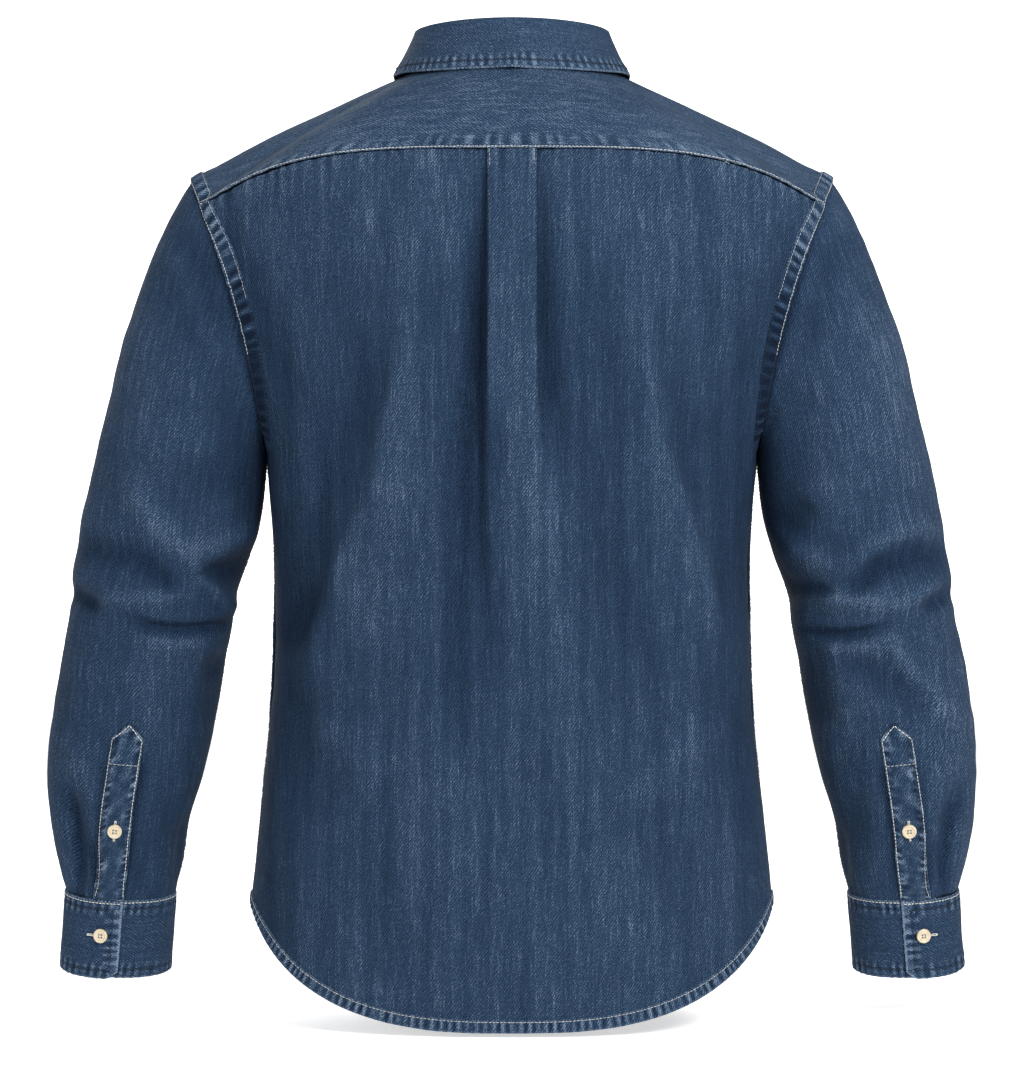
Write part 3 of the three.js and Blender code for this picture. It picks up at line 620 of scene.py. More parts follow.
def graded(*runs):
    """Numbers in runs of even steps, each run (start, end, steps)."""
    parts = [np.linspace(a, b, n + 1)[1 if i else 0:] for i, (a, b, n) in enumerate(runs)]
    return np.concatenate(parts)


def arc_length(line):
    """The length along a line of points, from its start to each of them."""
    return np.concatenate([[0], np.cumsum(np.linalg.norm(np.diff(line, axis=0), axis=-1))])


def resampled(line, count):
    """A line of points with even spacing."""
    length = arc_length(line)
    at = np.linspace(0, length[-1], count)
    return np.stack([np.interp(at, length, line[:, k]) for k in range(line.shape[1])], -1)


class Thread:
    """Stitches of one colour, gathered into one mesh."""

    def __init__(self, thickness):
        self.points, self.faces = [], []
        self.count = 0
        self.thickness = thickness

    def bars(self, starts, ends, out, arch=0.22, thickness=None):
        """Short plump stitches from starts to ends, arching out of the cloth."""
        sides, radius = 4, (thickness or self.thickness) / 2
        along = unit(ends - starts)
        across = unit(np.cross(along, out))
        lift = np.cross(across, along)
        rings = []
        for f, size, high in ((0, 0.25, -0.6), (0.14, 0.85, 0.3), (0.5, 1.05, 1), (0.86, 0.85, 0.3),
                              (1, 0.25, -0.6)):
            centre = lerp(starts, ends, f) + lift * (arch * high)
            for k in range(sides):
                a = math.tau * k / sides
                rings.append(centre + (across * math.cos(a) - lift * math.sin(a)) * radius * size)
        points = np.stack(rings, 1)
        n, per = len(points), len(rings)
        quads = []
        for r in range(4):
            for k in range(sides):
                a, b = r * sides + k, r * sides + (k + 1) % sides
                quads.append((a, b, b + sides, a + sides))
        for first, turn in ((0, -1), (4 * sides, 1)):
            quads.append([first + k for k in range(sides)][::turn])
        base = (np.arange(n) * per)[:, None, None] + self.count
        self.faces.append((np.array(quads)[None] + base).reshape(-1, 4))
        self.points.append(points.reshape(-1, 3))
        self.count += n * per

    def seam(self, line, out, seed, thickness=None):
        """A row of stitches along a line of points on the cloth's outer face."""
        arc = arc_length(line)
        count = max(1, int(arc[-1] / (STITCH["length"] + STITCH["gap"])))
        begin = np.arange(count) * (arc[-1] / count)
        begin = begin + np.random.default_rng(seed).uniform(-0.12, 0.12, count)
        end = begin + arc[-1] / count - STITCH["gap"]

        def at(place, values):
            return np.stack([np.interp(place, arc, values[:, k]) for k in range(3)], -1)

        self.bars(at(begin, line), at(end, line), unit(at((begin + end) / 2, out)),
                  thickness=thickness)

    def build(self, name, material):
        points, faces = np.concatenate(self.points) * MM, np.concatenate(self.faces)
        return placed(new_mesh(name, points, faces, sharp=80), material)


# ------------------------------------------------------------------ seams on the cloth
def on_skin(names, points):
    """The nearest places on the named pieces' outer faces, and their normals."""
    trees = [SKINS[name] for name in names.split()]
    found, normals = np.empty(points.shape), np.empty(points.shape)
    for i, p in enumerate(points):
        hits = [tree.find_nearest(Vector(p)) for tree in trees]
        place, normal, _, _ = min(hits, key=lambda hit: hit[3])
        found[i], normals[i] = place, normal
    return found, normals


def walked(names, line, inward, distances, step=1.6):
    """From a line on the named pieces' outer faces, rows of points at growing distances
    along the cloth, going roughly inward, at right angles to the line. Returns the rows and
    their normals."""
    line, _ = on_skin(names, line)
    along = unit(np.gradient(line, axis=0))
    way = unit(np.broadcast_to(np.asarray(inward, float), line.shape))
    _, normal = on_skin(names, line + way * 0.8)
    way = way - along * np.sum(way * along, -1, keepdims=True)
    place, rows, normals, gone = line, [], [], 0.0
    for distance in distances:
        while distance - gone > 1e-6:
            move = min(step, distance - gone)
            way = unit(way - normal * np.sum(way * normal, -1, keepdims=True))
            place, normal = on_skin(names, place + way * move)
            gone += move
        rows.append(place)
        normals.append(normal)
    normals = np.array(normals)
    for _ in range(2):
        normals[:, 1:-1] = unit(normals[:, :-2] + normals[:, 1:-1] + normals[:, 2:])
    return np.array(rows), normals


def seam_strip(name, names, line, inward, width, height, pitch, seed, lean=0.0, puff=0.4,
               tone=0.1, contrast=0.6, over=0.5, shade=None):
    """A folded strip sewn down along a line on the named pieces, with its gathers. It
    overhangs the line by over. Returns the piece and its rows of points, outwards first,
    and their normals."""
    distances = np.linspace(0.0, width, max(6, int(width / 1.1)))
    rows, normals = walked(names, line, inward, distances)
    rows[0] = line - unit(rows[1] - rows[0]) * over
    share = (distances / width)[:, None]
    arc = arc_length(line)[None]
    wave = puckers(arc + lean * distances[:, None], pitch, seed)
    puffed = np.sin(np.pi * np.clip(share * 0.92 + 0.08, 0, 1)) ** 0.8
    lift = height * (1 - smooth(share, 0.82, 1.0)) - 0.35 * smooth(share, 0.85, 1.0)
    points = rows + normals * (lift + puff * wave * puffed)[..., None]
    wear = tone + contrast * wave * puffed
    if shade:
        wear = wear - shade(points)
    up_to_right = np.cross(np.gradient(line, axis=0), points[-1] - points[0])
    if np.mean(np.sum(up_to_right * normals[0], -1)) < 0:
        points, wear, arc, normals = points[:, ::-1], wear[:, ::-1], -arc[:, ::-1], normals[:, ::-1]
    piece = sew(name, "", "washed_denim", points, arc, distances[:, None], wear,
                thickness=SEAM_WALL)
    return piece, points, normals


def between_rows(rows, normals, distance, width):
    """A line across a band's rows, a distance from its outer edge, on its outer face."""
    at = np.clip(distance / width, 0, 1) * (len(rows) - 1)
    low = min(int(at), len(rows) - 2)
    return lerp(rows[low], rows[low + 1], at - low), lerp(normals[low], normals[low + 1], at - low)


def line_of(form, a, b):
    """A line of evenly spaced points along a form."""
    a, b = np.broadcast_arrays(np.asarray(a, float), np.asarray(b, float))
    line = form(a, b)
    return resampled(line, max(8, int(arc_length(line)[-1] / LINE_SPACING)))


# ------------------------------------------------------------------ the shirt's folds
# In mm seen level from behind or in front: x to the wearer's left, z up.
BACK_FOLDS = Folds(
    "a b to_a to_b width height skew bow",
    (70, -110, 84, -215, 22, 2.4, 0, 0),
    (76, -200, 106, -345, 21, 4.6, 0.6, -2),
    (103, -322, 158, -462, 20, 4.8, 0.6, -4),
    (-112, -95, -104, -195, 30, 2.2, 0, 0),
    (-95, -172, -114, -300, 13, 4.4, -0.3, 0),
    (-111, -286, -160, -440, 14, 5.4, -0.5, 4),
    (110, -226, 166, -420, 18, -6.0, 0, -3),
    (150, -392, 176, -446, 12, -5.0, 0, 0),
    (-136, -255, -178, -410, 22, -3.6, 0, 5),
    (-72, -150, -84, -300, 14, -2.4, 0, 0),
    (-46, -262, -104, -456, 17, -3.6, 0, -6),
    (34, -330, 16, -470, 11, -3.2, 0, 4),
    (44, -380, 42, -520, 15, -3.4, 0, 0),
    (-12, -280, -36, -540, 26, 3.2, 0, 4),
    (70, -300, 96, -440, 22, 2.0, 0, 0),
    (152, -500, 106, -541, 13, 4.0, 0, 4),
    (178, -450, 156, -575, 18, -4.0, 0, 6),
    (-162, -505, -100, -556, 16, 2.8, 0, -4),
    (-184, -480, -172, -570, 14, -2.0, 0, -4),
    (60, -420, 66, -600, 26, 1.2, 0, 0),
    (-100, -560, -128, -660, 20, -1.6, 0, 0),
    (130, -600, 80, -690, 20, -1.6, 0, 4),
    (226, -116, 172, -250, 15, -4.4, 0, 0),
    (-226, -116, -170, -255, 14, -3.2, 0, 0),
    (190, -110, 140, -260, 18, 1.8, 0, 0),
    (120, -120, 108, -210, 18, -1.2, 0, 0),
)
FRONT_FOLDS = Folds(
    "a b to_a to_b width height skew bow",
    (186, -130, 96, -250, 20, -3.0, 0, 6),
    (150, -95, 70, -215, 22, 2.6, 0, 0),
    (188, -250, 120, -420, 22, 3.6, 0.3, -5),
    (170, -330, 150, -480, 16, -3.2, 0, 0),
    (140, -470, 70, -600, 24, 2.4, 0, 6),
    (60, -300, 48, -470, 22, -1.6, 0, 0),
    (176, -540, 130, -640, 20, 1.6, 0, 0),
)
BACK_VALLEY = Table(
    "z depth middle width",
    (-440, 0, 25, 22),
    (-380, 3.0, 26, 19),
    (-323, 6.0, 26, 15),
    (-262, 8.5, 25, 12),
    (-186, 8.5, 23.5, 10),
    (-120, 6.5, 22.5, 9),
    (-80, 3.2, 22, 8),
    (-55, 0.2, 22, 8),
)
# On a sleeve, for its back and its front, with x from the middle of the shirt outwards.
SLEEVE_BACK_LEFT = Folds(
    "a b to_a to_b width height skew bow taper",
    (297, -316, 256, -369, 11, 6.5, 0.1, -4, 1),
    (256, -372, 204, -354, 10, 5.5, 0.1, -3, 1),
    (238, -296, 226, -332, 17, -4.5, 0, 0, 1),
    (341, -366, 284, -376, 12, -7.5, 0, 2, 0.9),
    (288, -377, 262, -398, 11, -6.5, 0, 0, 0.6),
    (326, -404, 256, -404, 8, 5.5, 0, -2, 1),
    (348, -400, 322, -411, 7.5, -7.0, 0, 0, 1),
    (247, -380, 217, -418, 6, 5.0, 0, 0, 1),
    (243, -387, 202, -384, 4, -7.5, 0, 0, 3.6),
    (292, -424, 222, -426, 5, -7.5, -0.2, -5, 1),
    (290, -437, 236, -440, 9.5, 4.8, 0, -3, 1),
    (216, -450, 240, -467, 8, -5.5, 0, 0, 1),
    (232, -464, 240, -506, 9, -3.5, 0, 0, 1),
    (284, -452, 280, -530, 11, 2.6, 0, 0, 1),
    (354, -428, 356, -510, 12, -2.2, 0, 0, 1),
    (256, -122, 224, -208, 12, -4.5, 0, 3, 1),
    (276, -150, 248, -210, 10, -2.0, 0, 0, 1),
    (300, -180, 276, -300, 24, 3.0, 0, 0, 1),
    (224, -230, 210, -330, 14, -3.5, 0, 0, 1),
    (346, -522, 316, -600, 13, 2.4, 0, 0, 1),
    (262, -520, 276, -610, 12, -2.6, 0, 0, 1),
    (350, -555, 343, -640, 8, -7.5, 0, 4, 0.5),
    (331, -596, 329, -640, 4, -4.0, 0, 0, 1),
    (258, -585, 266, -636, 6, -4.5, 0, 0, 0.7),
    (300, -585, 300, -634, 6, -1.8, 0, 0, 1),
)
SLEEVE_BACK_RIGHT = Folds(
    "a b to_a to_b width height skew bow taper",
    (332, -352, 290, -360, 9, 4.2, 0, 3, 1),
    (293, -360, 256, -386, 10, 5.4, 0, 3, 1),
    (252, -382, 214, -366, 9, 4.0, 0, 0, 1),
    (228, -332, 212, -353, 14, -5.0, 0, 0, 1),
    (262, -403, 288, -378, 6, -6.5, 0, 0, 1.8),
    (286, -378, 342, -373, 11, -8.0, 0, -2, 1.3),
    (240, -408, 302, -411, 8, 5.8, 0, -2, 1),
    (300, -411, 334, -397, 7, 4.4, 0, 0, 1),
    (348, -400, 322, -413, 7.5, -7.0, 0, 0, 1),
    (247, -400, 207, -398, 4, -6.5, 0, 0, 3.6),
    (230, -431, 290, -427, 5, -7.5, 0.2, 5, 1),
    (242, -442, 284, -440, 9, 4.0, 0, 3, 1),
    (286, -430, 352, -502, 9, 5.0, 0, 4, 1),
    (262, -452, 324, -488, 10, -5.0, 0, 3, 1.4),
    (233, -450, 244, -506, 10, -4.5, 0, 0, 1),
    (352, -418, 350, -450, 8, -3.0, 0, 0, 1),
    (258, -126, 226, -212, 12, -4.0, 0, 3, 1),
    (302, -186, 280, -306, 24, 3.0, 0, 0, 1),
    (226, -236, 212, -336, 14, -3.2, 0, 0, 1),
    (346, -526, 314, -604, 13, 2.4, 0, 0, 1),
    (262, -526, 276, -606, 12, -2.4, 0, 0, 1),
    (350, -560, 343, -640, 8, -7.0, 0, 4, 0.5),
    (331, -598, 329, -640, 4, -4.0, 0, 0, 1),
    (258, -588, 266, -636, 6, -4.0, 0, 0, 0.7),
    (298, -588, 298, -634, 6, -1.8, 0, 0, 1),
)
SLEEVE_FRONT = Folds(
    "a b to_a to_b width height skew bow",
    (228, -392, 330, -430, 12, -5.0, 0, -6),
    (224, -366, 320, -392, 12, 3.2, 0, -5),
    (232, -424, 334, -462, 12, 3.4, 0, -4),
    (236, -452, 310, -470, 9, -3.0, 0, 0),
    (258, -130, 226, -260, 16, -2.6, 0, -4),
    (300, -200, 262, -350, 22, 2.0, 0, 0),
    (206, -318, 250, -378, 13, -2.2, 0, 0),
    (330, -500, 300, -600, 14, 1.8, 0, 0),
)


# Patches painted paler or darker than the rest, partly the denim's own paling and partly
# painted light and shade, such as the painted shadows beside the pleat's edges: middle, reach
# each way, and how much.
BACK_FADING_AND_SHADE = (
    (85, -180, 30, 50, 0.06),
    (75, -205, 35, 40, -0.1),
    (-112, -150, 36, 60, -0.05),
    (-56, -190, 12, 60, -0.1),
    (-38, -330, 16, 60, 0.1),
    (12, -290, 7, 36, -0.35),
    (37, -290, 13, 60, -0.15),
    (29, -210, 6, 45, -0.17),
    (-22, -165, 5, 50, -0.2),
    (-26, -440, 30, 70, -0.05),
    (-3, -310, 12, 190, 0.14),
    (43, -450, 18, 50, -0.14),
    (152, -425, 20, 22, -0.28),
    (104, -352, 30, 32, -0.12),
)
SLEEVE_FADING_AND_SHADE_LEFT = (
    (255, -462, 40, 24, 0.12),
    (305, -362, 36, 14, 0.12),
    (228, -372, 22, 9, 0.05),
    (235, -290, 22, 60, 0.12),
    (268, -565, 14, 60, 0.16),
)
SLEEVE_FADING_AND_SHADE_RIGHT = (
    (238, -390, 26, 18, 0.15),
    (232, -290, 24, 70, 0.12),
    (258, -375, 26, 22, -0.26),
    (300, -485, 24, 26, 0.1),
    (250, -480, 30, 60, 0.14),
    (268, -570, 14, 50, 0.1),
)


def fading_and_shade(patches, x, z):
    """How much the patches pale or darken a place, all together, by the denim's own paling and by painted
    light and shade.
    """
    return sum(
        amount * np.exp(-(((x - middle_x) / wide) ** 2) - ((z - middle_z) / high) ** 2)
        for middle_x, middle_z, wide, high, amount in patches
    )


def below_yoke(x, z):
    """How far a place on the back is below the yoke's seam, 0 to 400 mm."""
    return np.clip(-z - 52 - 48 * (np.abs(x) / 243) ** 2.2, 0, 400)


def yoke_gathers(x):
    """The gathers that the yoke's seam makes, across the back."""
    return puckers(x, YOKE_GATHERS["pitch"], YOKE_GATHERS["seed"])


def pleat_gathers(x, below):
    """The short creases at the top of the pleat, where the yoke's seam holds it."""
    wave = puckers(x, PLEAT_GATHERS["pitch"], PLEAT_GATHERS["seed"])
    on_pleat = 1 - smooth(np.abs(x), 14.5, 18)
    return wave * on_pleat * np.exp(-((below / PLEAT_GATHERS["reach"]) ** 1.5))


def back_height(x, z):
    """How far the back's cloth stands off its form."""
    depth, middle, width = BACK_VALLEY(np.clip(z, -440, -55))
    more = np.where(x > 0, 1.15, 0.85 * (1 - smooth(-z, 240, 330)))
    off = (np.abs(x) - middle) / width
    valley = -depth * more * np.exp(-off * off * np.where(off < 0, 8, 0.6))
    below = below_yoke(x, z)
    gathers = 0.8 * yoke_gathers(x) * np.exp(-below / 13)
    gathers += 0.6 * pleat_gathers(x, below)
    gathers += 0.5 * ripple(x, z, 24, 32, 10, 0.92) * np.exp(-below / 45)
    gathers += 0.4 * ripple(x, z, 27, 33, 10, 0.95) * np.exp(-below / 160)
    return (
        BACK_FOLDS.height(x, z) * smooth(below, 0, 34)
        + valley
        + gathers
        + 0.75 * ripple(x, z, 95, 3, lean=0.5)
        + 0.3 * ripple(x, z, 38, 4, lean=0.3)
        + 0.07 * ripple(x, z, 11, 6)
    )


def front_height(x, z, seed):
    """How far a front's cloth stands off its form."""
    return (
        FRONT_FOLDS.height(x, z)
        + 0.8 * ripple(x, z, 90, seed, lean=0.5)
        + 0.3 * ripple(x, z, 36, seed + 1)
        + 0.07 * ripple(x, z, 11, seed + 2)
    )


def raised(form, a, b, sense, height, wall=WALL):
    """A form's outer face, standing height(points) off it. With no wall, its middle."""
    p = form(a, b)
    return p + normal_of(form, a, b, sense) * (height(p) + wall / 2)[..., None]


# ------------------------------------------------------------------ the pieces
def both_halves(on_pleat, beyond, sign=1):
    """The pleat's columns and those beyond it, with their mirror image across the middle."""
    half = np.concatenate([on_pleat, beyond], 1)
    return np.concatenate([half[:, ::-1], sign * half[:, 1:]], 1)


def make_back():
    """The back, from the hem to the yoke, with the box pleat folded into its middle."""
    rows = graded((0, 0.11, 7), (0.11, FOOT_ROW, 102), (FOOT_ROW, 8.7, 64), (8.7, 8.985, 8))
    rows = rows[:, None]
    x, layer, open_x = PLEAT_SECTION(graded((0, 7, 22), (7, 9, 14))[None])
    shut = smooth(rows, PLEAT["open_below"], PLEAT["closed_above"])
    spacing = lerp(PLEAT["spacing"], PLEAT["top_spacing"], smooth(rows, YOKE_ROW - 1, YOKE_ROW))
    on_pleat = across_at(lerp(open_x, x, shut), rows)
    stack = (1 - layer) * spacing * shut
    beyond = np.linspace(0, 1, 64)[None, 1:]
    across = both_halves(on_pleat, lerp(on_pleat[:, -1:], 1, beyond), -1)
    stack = both_halves(stack, stack[:, -1:] * (1 - beyond) ** 4)
    layer_at = both_halves(layer * shut, shut + 0 * beyond)
    rows = rows + 0 * across

    def height(p):
        under_yoke = -0.7 * smooth(rows, 8.8, 8.97)
        return stack + under_yoke + back_height(p[..., 0], p[..., 2])

    outer = raised(back_form, across, rows, -1, height, 0.2)
    x, z = outer[..., 0], outer[..., 2]
    from_centre, below = np.abs(x), below_yoke(x, z)
    # ridges and gathers are paler than the troughs between them: partly the washed denim's own
    # paling on its ridges, partly painted shade that deepens the troughs
    tone = 0.045 * back_height(x, z) + 0.1 * ripple(x, z, 21, 34, 12, 0.94)
    tone += 0.35 * (0.5 + yoke_gathers(x)) * np.exp(-below / 11)
    tone += 0.32 * pleat_gathers(x, below) * (layer_at < 0.5)
    # patches of paling and of painted light and shade, painted light on the top and the foot, and
    # painted shade on the sides, deeper on the wearer's left, away from the key lamp
    tone += fading_and_shade(BACK_FADING_AND_SHADE, x, z) + 0.1 * smooth(-z, 430, 640)
    tone += 0.12 * (1 - smooth(-z, 110, 200)) * smooth(from_centre, 15, 25)
    sides = np.where(x > 0, 0.34 * smooth(-z, 270, 380), 0.14 * smooth(-z, 190, 300))
    tone -= sides * smooth(from_centre, 145, 205)
    # the pleat's top layer is paler, and the layers under it are darker as painted shade in the
    # pleat's folds; its folded edge is rubbed paler
    pleat = (1 - smooth(from_centre, 18, 22)) * smooth(rows, 3.4, 4.9)
    tone += (0.09 - 0.2 * layer_at) * pleat
    pleat_edge = np.exp(-(((from_centre - 18.2) / 1.6) ** 2)) * (layer_at < 0.6)
    tone += 0.15 * pleat_edge * smooth(rows, 4, 5.6)
    piece = sew("shirt_back", "back_panel", "washed_denim", outer,
                horizontal_arc(outer, 60), z, tone, thickness=0.8, edge_wear=0, centred=True)


def yoke_face(turn, r):
    """The yoke's outer face, with its lower edge lying over the back."""
    def height(p):
        seam_lift = 1.5 * smooth(r, 0.86, 0.97)
        flat = 1 - smooth(r, 0.8, 0.97)
        return (
            seam_lift
            + 0.5 * flat * ripple(p[..., 0], p[..., 1] + p[..., 2], 70, 11)
            + 0.07 * ripple(p[..., 0], p[..., 1] + p[..., 2], 11, 12)
        )

    return raised(yoke_form, turn, r, 1, height)


def make_yoke():
    """The yoke, over the shoulders from the back's seam to the fronts'."""
    arm = np.linspace(YOKE["neck_front"], YOKE["neck_back"], 42)[:-1]
    back = np.linspace(YOKE["neck_back"], 0, 98)
    turns = np.concatenate([arm, back, -back[::-1][1:], -arm[::-1]])[None]
    r = graded((1, 0.84, 18), (0.84, 0, 28))[:, None]
    turns, r = np.broadcast_arrays(turns, r)
    outer = yoke_face(turns, r)
    arc = horizontal_arc(outer[:1])
    from_edge = np.cumsum(np.linalg.norm(np.diff(outer, axis=0, prepend=outer[:1]), axis=-1), 0)
    wave = puckers(arc + 0 * r, 12, 41) + 0.35 * puckers(arc + 0 * r, 5.3, 43)
    on_back = 1 - smooth(np.abs(turns), YOKE["neck_back"] - 2, YOKE["neck_back"] + 4)
    on_front = smooth(np.abs(turns), YOKE["neck_front"] - 3, YOKE["neck_front"])
    band = smooth(from_edge, 0.3, 2.5) * (1 - smooth(from_edge, 6.5, 15)) * on_back
    stripe = np.clip(1.5 * wave, -1, 1) * (0.8 + 0.35 * ripple(arc + 0 * r, from_edge, 26, 44))
    n = normal_of(yoke_form, turns, r, 1)
    outer = outer + n * (0.8 * band * wave + 1.0 * on_front)[..., None]
    around = YOKE["roll"] * np.arctan2(outer[..., 1], outer[..., 2] - YOKE["roll_z"])
    shoulders = smooth(np.abs(outer[..., 0]), 85, 130)
    # the yoke is painted paler, more so over the shoulders, as painted light from above; the gathers along
    # its lower edge are rubbed paler and darker in spots
    tone = 0.26 + 0.11 * shoulders + (0.04 + 0.44 * stripe) * band
    piece = sew("shirt_yoke", "yoke", "washed_denim", outer, -1.04 * outer[..., 0],
                -around, tone, crosswise=True)


def make_fronts():
    """Both fronts, the wearer's left lying over the right."""
    neck_row = CLOSURE["neck_row"]
    rows = graded((0, 0.1, 6), (0.1, FOOT_ROW, 74), (FOOT_ROW, neck_row, 34),
                  (neck_row, YOKE_ROW - 0.016, 34))[:, None]
    shares = graded((0, 0.25, 16), (0.25, 1, 46))[None]
    shares, rows = np.broadcast_arrays(shares, rows)
    for side, name in SIDES:
        def height(p):
            x = p[..., 0]
            over = smooth(x, CLOSURE["half"], CLOSURE["half"] + CLOSURE["lap_fade"])
            lap = -CLOSURE["lap"] * (1 - over) if side < 0 else 0
            return lap + over * front_height(x, p[..., 2], 50 + 7 * side)

        outer = raised(front_point, shares, rows, 1, height)
        # each front tucks under the back's edge at the side
        outer[..., 1] -= 0.6 * smooth(shares, 0.9, 1) * (1 - smooth(rows, 3.9, 4.1))
        piece = sew(f"shirt_front_{name}", f"front_{name}", "washed_denim", outer,
                    horizontal_arc(outer), outer[..., 2], mirror=side < 0, edge_wear=0)


def front_share(x, row):
    """Where a distance from the centre front lies on the wearer's left front, by halving."""
    low, high = np.zeros(row.shape), np.full(row.shape, 0.5)
    for _ in range(26):
        middle = (low + high) / 2
        under = front_point(middle, row)[..., 0] < x
        low, high = np.where(under, middle, low), np.where(under, high, middle)
    return low


def make_front_band():
    """The band down the wearer's left front, over the closure."""
    rows = graded((0, 0.05, 4), (0.05, FOOT_ROW, 158), (FOOT_ROW, 6.49, 92))[:, None]
    xs = np.linspace(-CLOSURE["half"], CLOSURE["half"], 19)[None]
    xs, rows = np.broadcast_arrays(xs, rows)
    edge = CLOSURE["half"] - np.abs(xs)
    stitched = smooth(edge, 0.6, 2.5) * (1 - smooth(edge, 5, 8))

    def gathers(p):
        return stitched * puckers(p[..., 2] + 0.6 * xs, BAND_GATHERS["pitch"], BAND_GATHERS["seed"])

    def band_height(p):
        return 1.7 + 0.3 * gathers(p) - 0.25 * np.exp(-(((edge - 6.3) / 1.2) ** 2))

    outer = raised(front_point, front_share(xs, rows), rows, 1, band_height)
    wear = 0.08 + 0.5 * gathers(outer)
    piece = sew("shirt_front_band", "front_placket", "washed_bands", outer, xs,
                outer[..., 2], wear, thickness=BAND_WALL)


def edge_relief(from_edge, along, seed, pitch=7.5):
    """The puckered edge of a doubled piece with a row of stitches: its height and its wear."""
    wave = puckers(along, pitch, seed)
    flat = smooth(from_edge, EDGE_STITCH + 2.5, EDGE_STITCH + 7.5)
    band = smooth(from_edge, 0.3, 1.8) * (1 - flat)
    dent = np.exp(-((from_edge - EDGE_STITCH) ** 2))
    spots = np.clip(1.4 * wave, -1, 1) * (0.85 + 0.4 * ripple(along, from_edge, 17, seed + 5))
    return 0.42 * wave * band - 0.4 * dent, (0.14 + 0.55 * spots) * band - 0.5 * dent


def make_collar_stand():
    """The collar's stand, round the neck."""
    turns = np.linspace(STAND["end"], -STAND["end"], 250)[None]
    h = np.linspace(0, 1, 17)[:, None]
    turns, h = np.broadcast_arrays(turns, h)
    around, up = np.radians(turns) * NECK["half_width"], h * STAND["height"]
    relief, wear = edge_relief(STAND["height"] - up, around, 71)
    outer = raised(stand_form, turns, h, -1, lambda p: relief * 0.6, DOUBLED)
    piece = sew("shirt_collar_stand", "collar_stand", "washed_bands", outer,
                -around, up, wear, thickness=DOUBLED, crosswise=True)


def make_collar_leaf():
    """The collar's leaf, folded down over its stand."""
    turns = np.linspace(LEAF["end"], -LEAF["end"], 320)[None]
    r = graded((0.97, 0.74, 18), (0.74, LEAF["seam"], 14), (LEAF["seam"], 0, 6))[:, None]
    turns, r = np.broadcast_arrays(turns, r)
    base = leaf_form(turns, r)
    down = np.cumsum(np.linalg.norm(np.diff(base, axis=0, prepend=base[:1]), axis=-1), 0)
    along = arc_length(base[0])
    ends = np.minimum(along, along[-1] - along)[None] * (1 + 0 * r)
    relief, wear = edge_relief(np.minimum(down, ends), along[None] + 0.1 * down, 73)
    soft = 0.35 * ripple(along[None] + 0 * r, down, 46, 75) * smooth(r, 0.1, 0.5)
    outer = raised(leaf_form, turns, r, -1, lambda p: relief + soft, DOUBLED)
    piece = sew("shirt_collar_leaf", "collar_leaf", "washed_bands", outer,
                along[None] - along[-1] / 2, down, wear + 0.15, thickness=DOUBLED,
                crosswise=True, edge_wear=0.5)


def sleeve_height(side):
    """How far a sleeve's cloth stands off its form, at points of it."""
    folds = SLEEVE_BACK_LEFT if side > 0 else SLEEVE_BACK_RIGHT
    seed = 80 if side > 0 else 90

    def height(p, degrees):
        x, y, z = p[..., 0], p[..., 1], p[..., 2]
        back = smooth(sind(degrees), -0.25, 0.3)
        seam = sind(degrees / 2) ** 12
        return (
            back * folds.height(x, z)
            + (1 - back) * SLEEVE_FRONT.height(x, z)
            + 0.8 * ripple(x + 0.6 * y, z, 70, seed, lean=0.3) * (1 - seam)
            + 0.3 * ripple(x + 0.8 * y, z, 30, seed + 1) * (1 - seam)
            + 0.06 * ripple(x + 0.8 * y, z, 10, seed + 2)
        )

    return height


def make_sleeves():
    """Both sleeves, each a tube with its seam along the inside of the arm."""
    rows = graded((CUFF_ROW, CUFF_ROW - 0.35, 7), (CUFF_ROW - 0.35, 9.5, 72), (9.5, 7, 32),
                  (7, 1, 62), (1, 0, 11))[:, None]
    degrees = graded((-180, -20, 44), (-20, 180, 78))[None]
    rows, degrees = np.broadcast_arrays(rows, degrees)
    for side, name in SIDES:
        height = sleeve_height(side)
        gathers = smooth(rows, 13.7, 15) * 0.5 * ripple(degrees, 0 * degrees, 13, 95 + side, 8)
        outer = raised(sleeve_form, degrees, rows, -1, lambda p: height(p, degrees) + gathers)
        # the first ring stands clear of the body's armhole
        low = (1 - cosd(degrees)) / 2
        clear = lerp(1.0, 1.9, low) * np.clip(1 - rows, 0, 1)
        outer[..., 0] += lerp(0.5, 1, low) * clear
        outer[..., 2] += lerp(-0.4, 0, low) * clear
        # the cloth's own grain, straight down the arm
        lateral, down = (outer - SLEEVE_TOP) @ SLEEVE_SIDE, (outer - SLEEVE_TOP) @ SLEEVE_AXIS
        angle = np.degrees(np.arctan2(outer[..., 1] - SLEEVE(rows)[4], lateral))
        angle = degrees + (angle - degrees + 180) % 360 - 180
        around = lerp(66, 46, smooth(down, 150, 520)) * np.radians(angle)
        # ridges paler and troughs darker: partly the washed denim's own paling, partly painted shade that
        # deepens the folds
        tone = sleeve_tone(side, outer, rows, degrees, down) + 0.055 * height(outer, degrees)
        piece = sew(f"shirt_sleeve_{name}", f"sleeve_{name}", "washed_denim", outer,
                    around, -down, tone, mirror=side < 0, edge_wear=0)


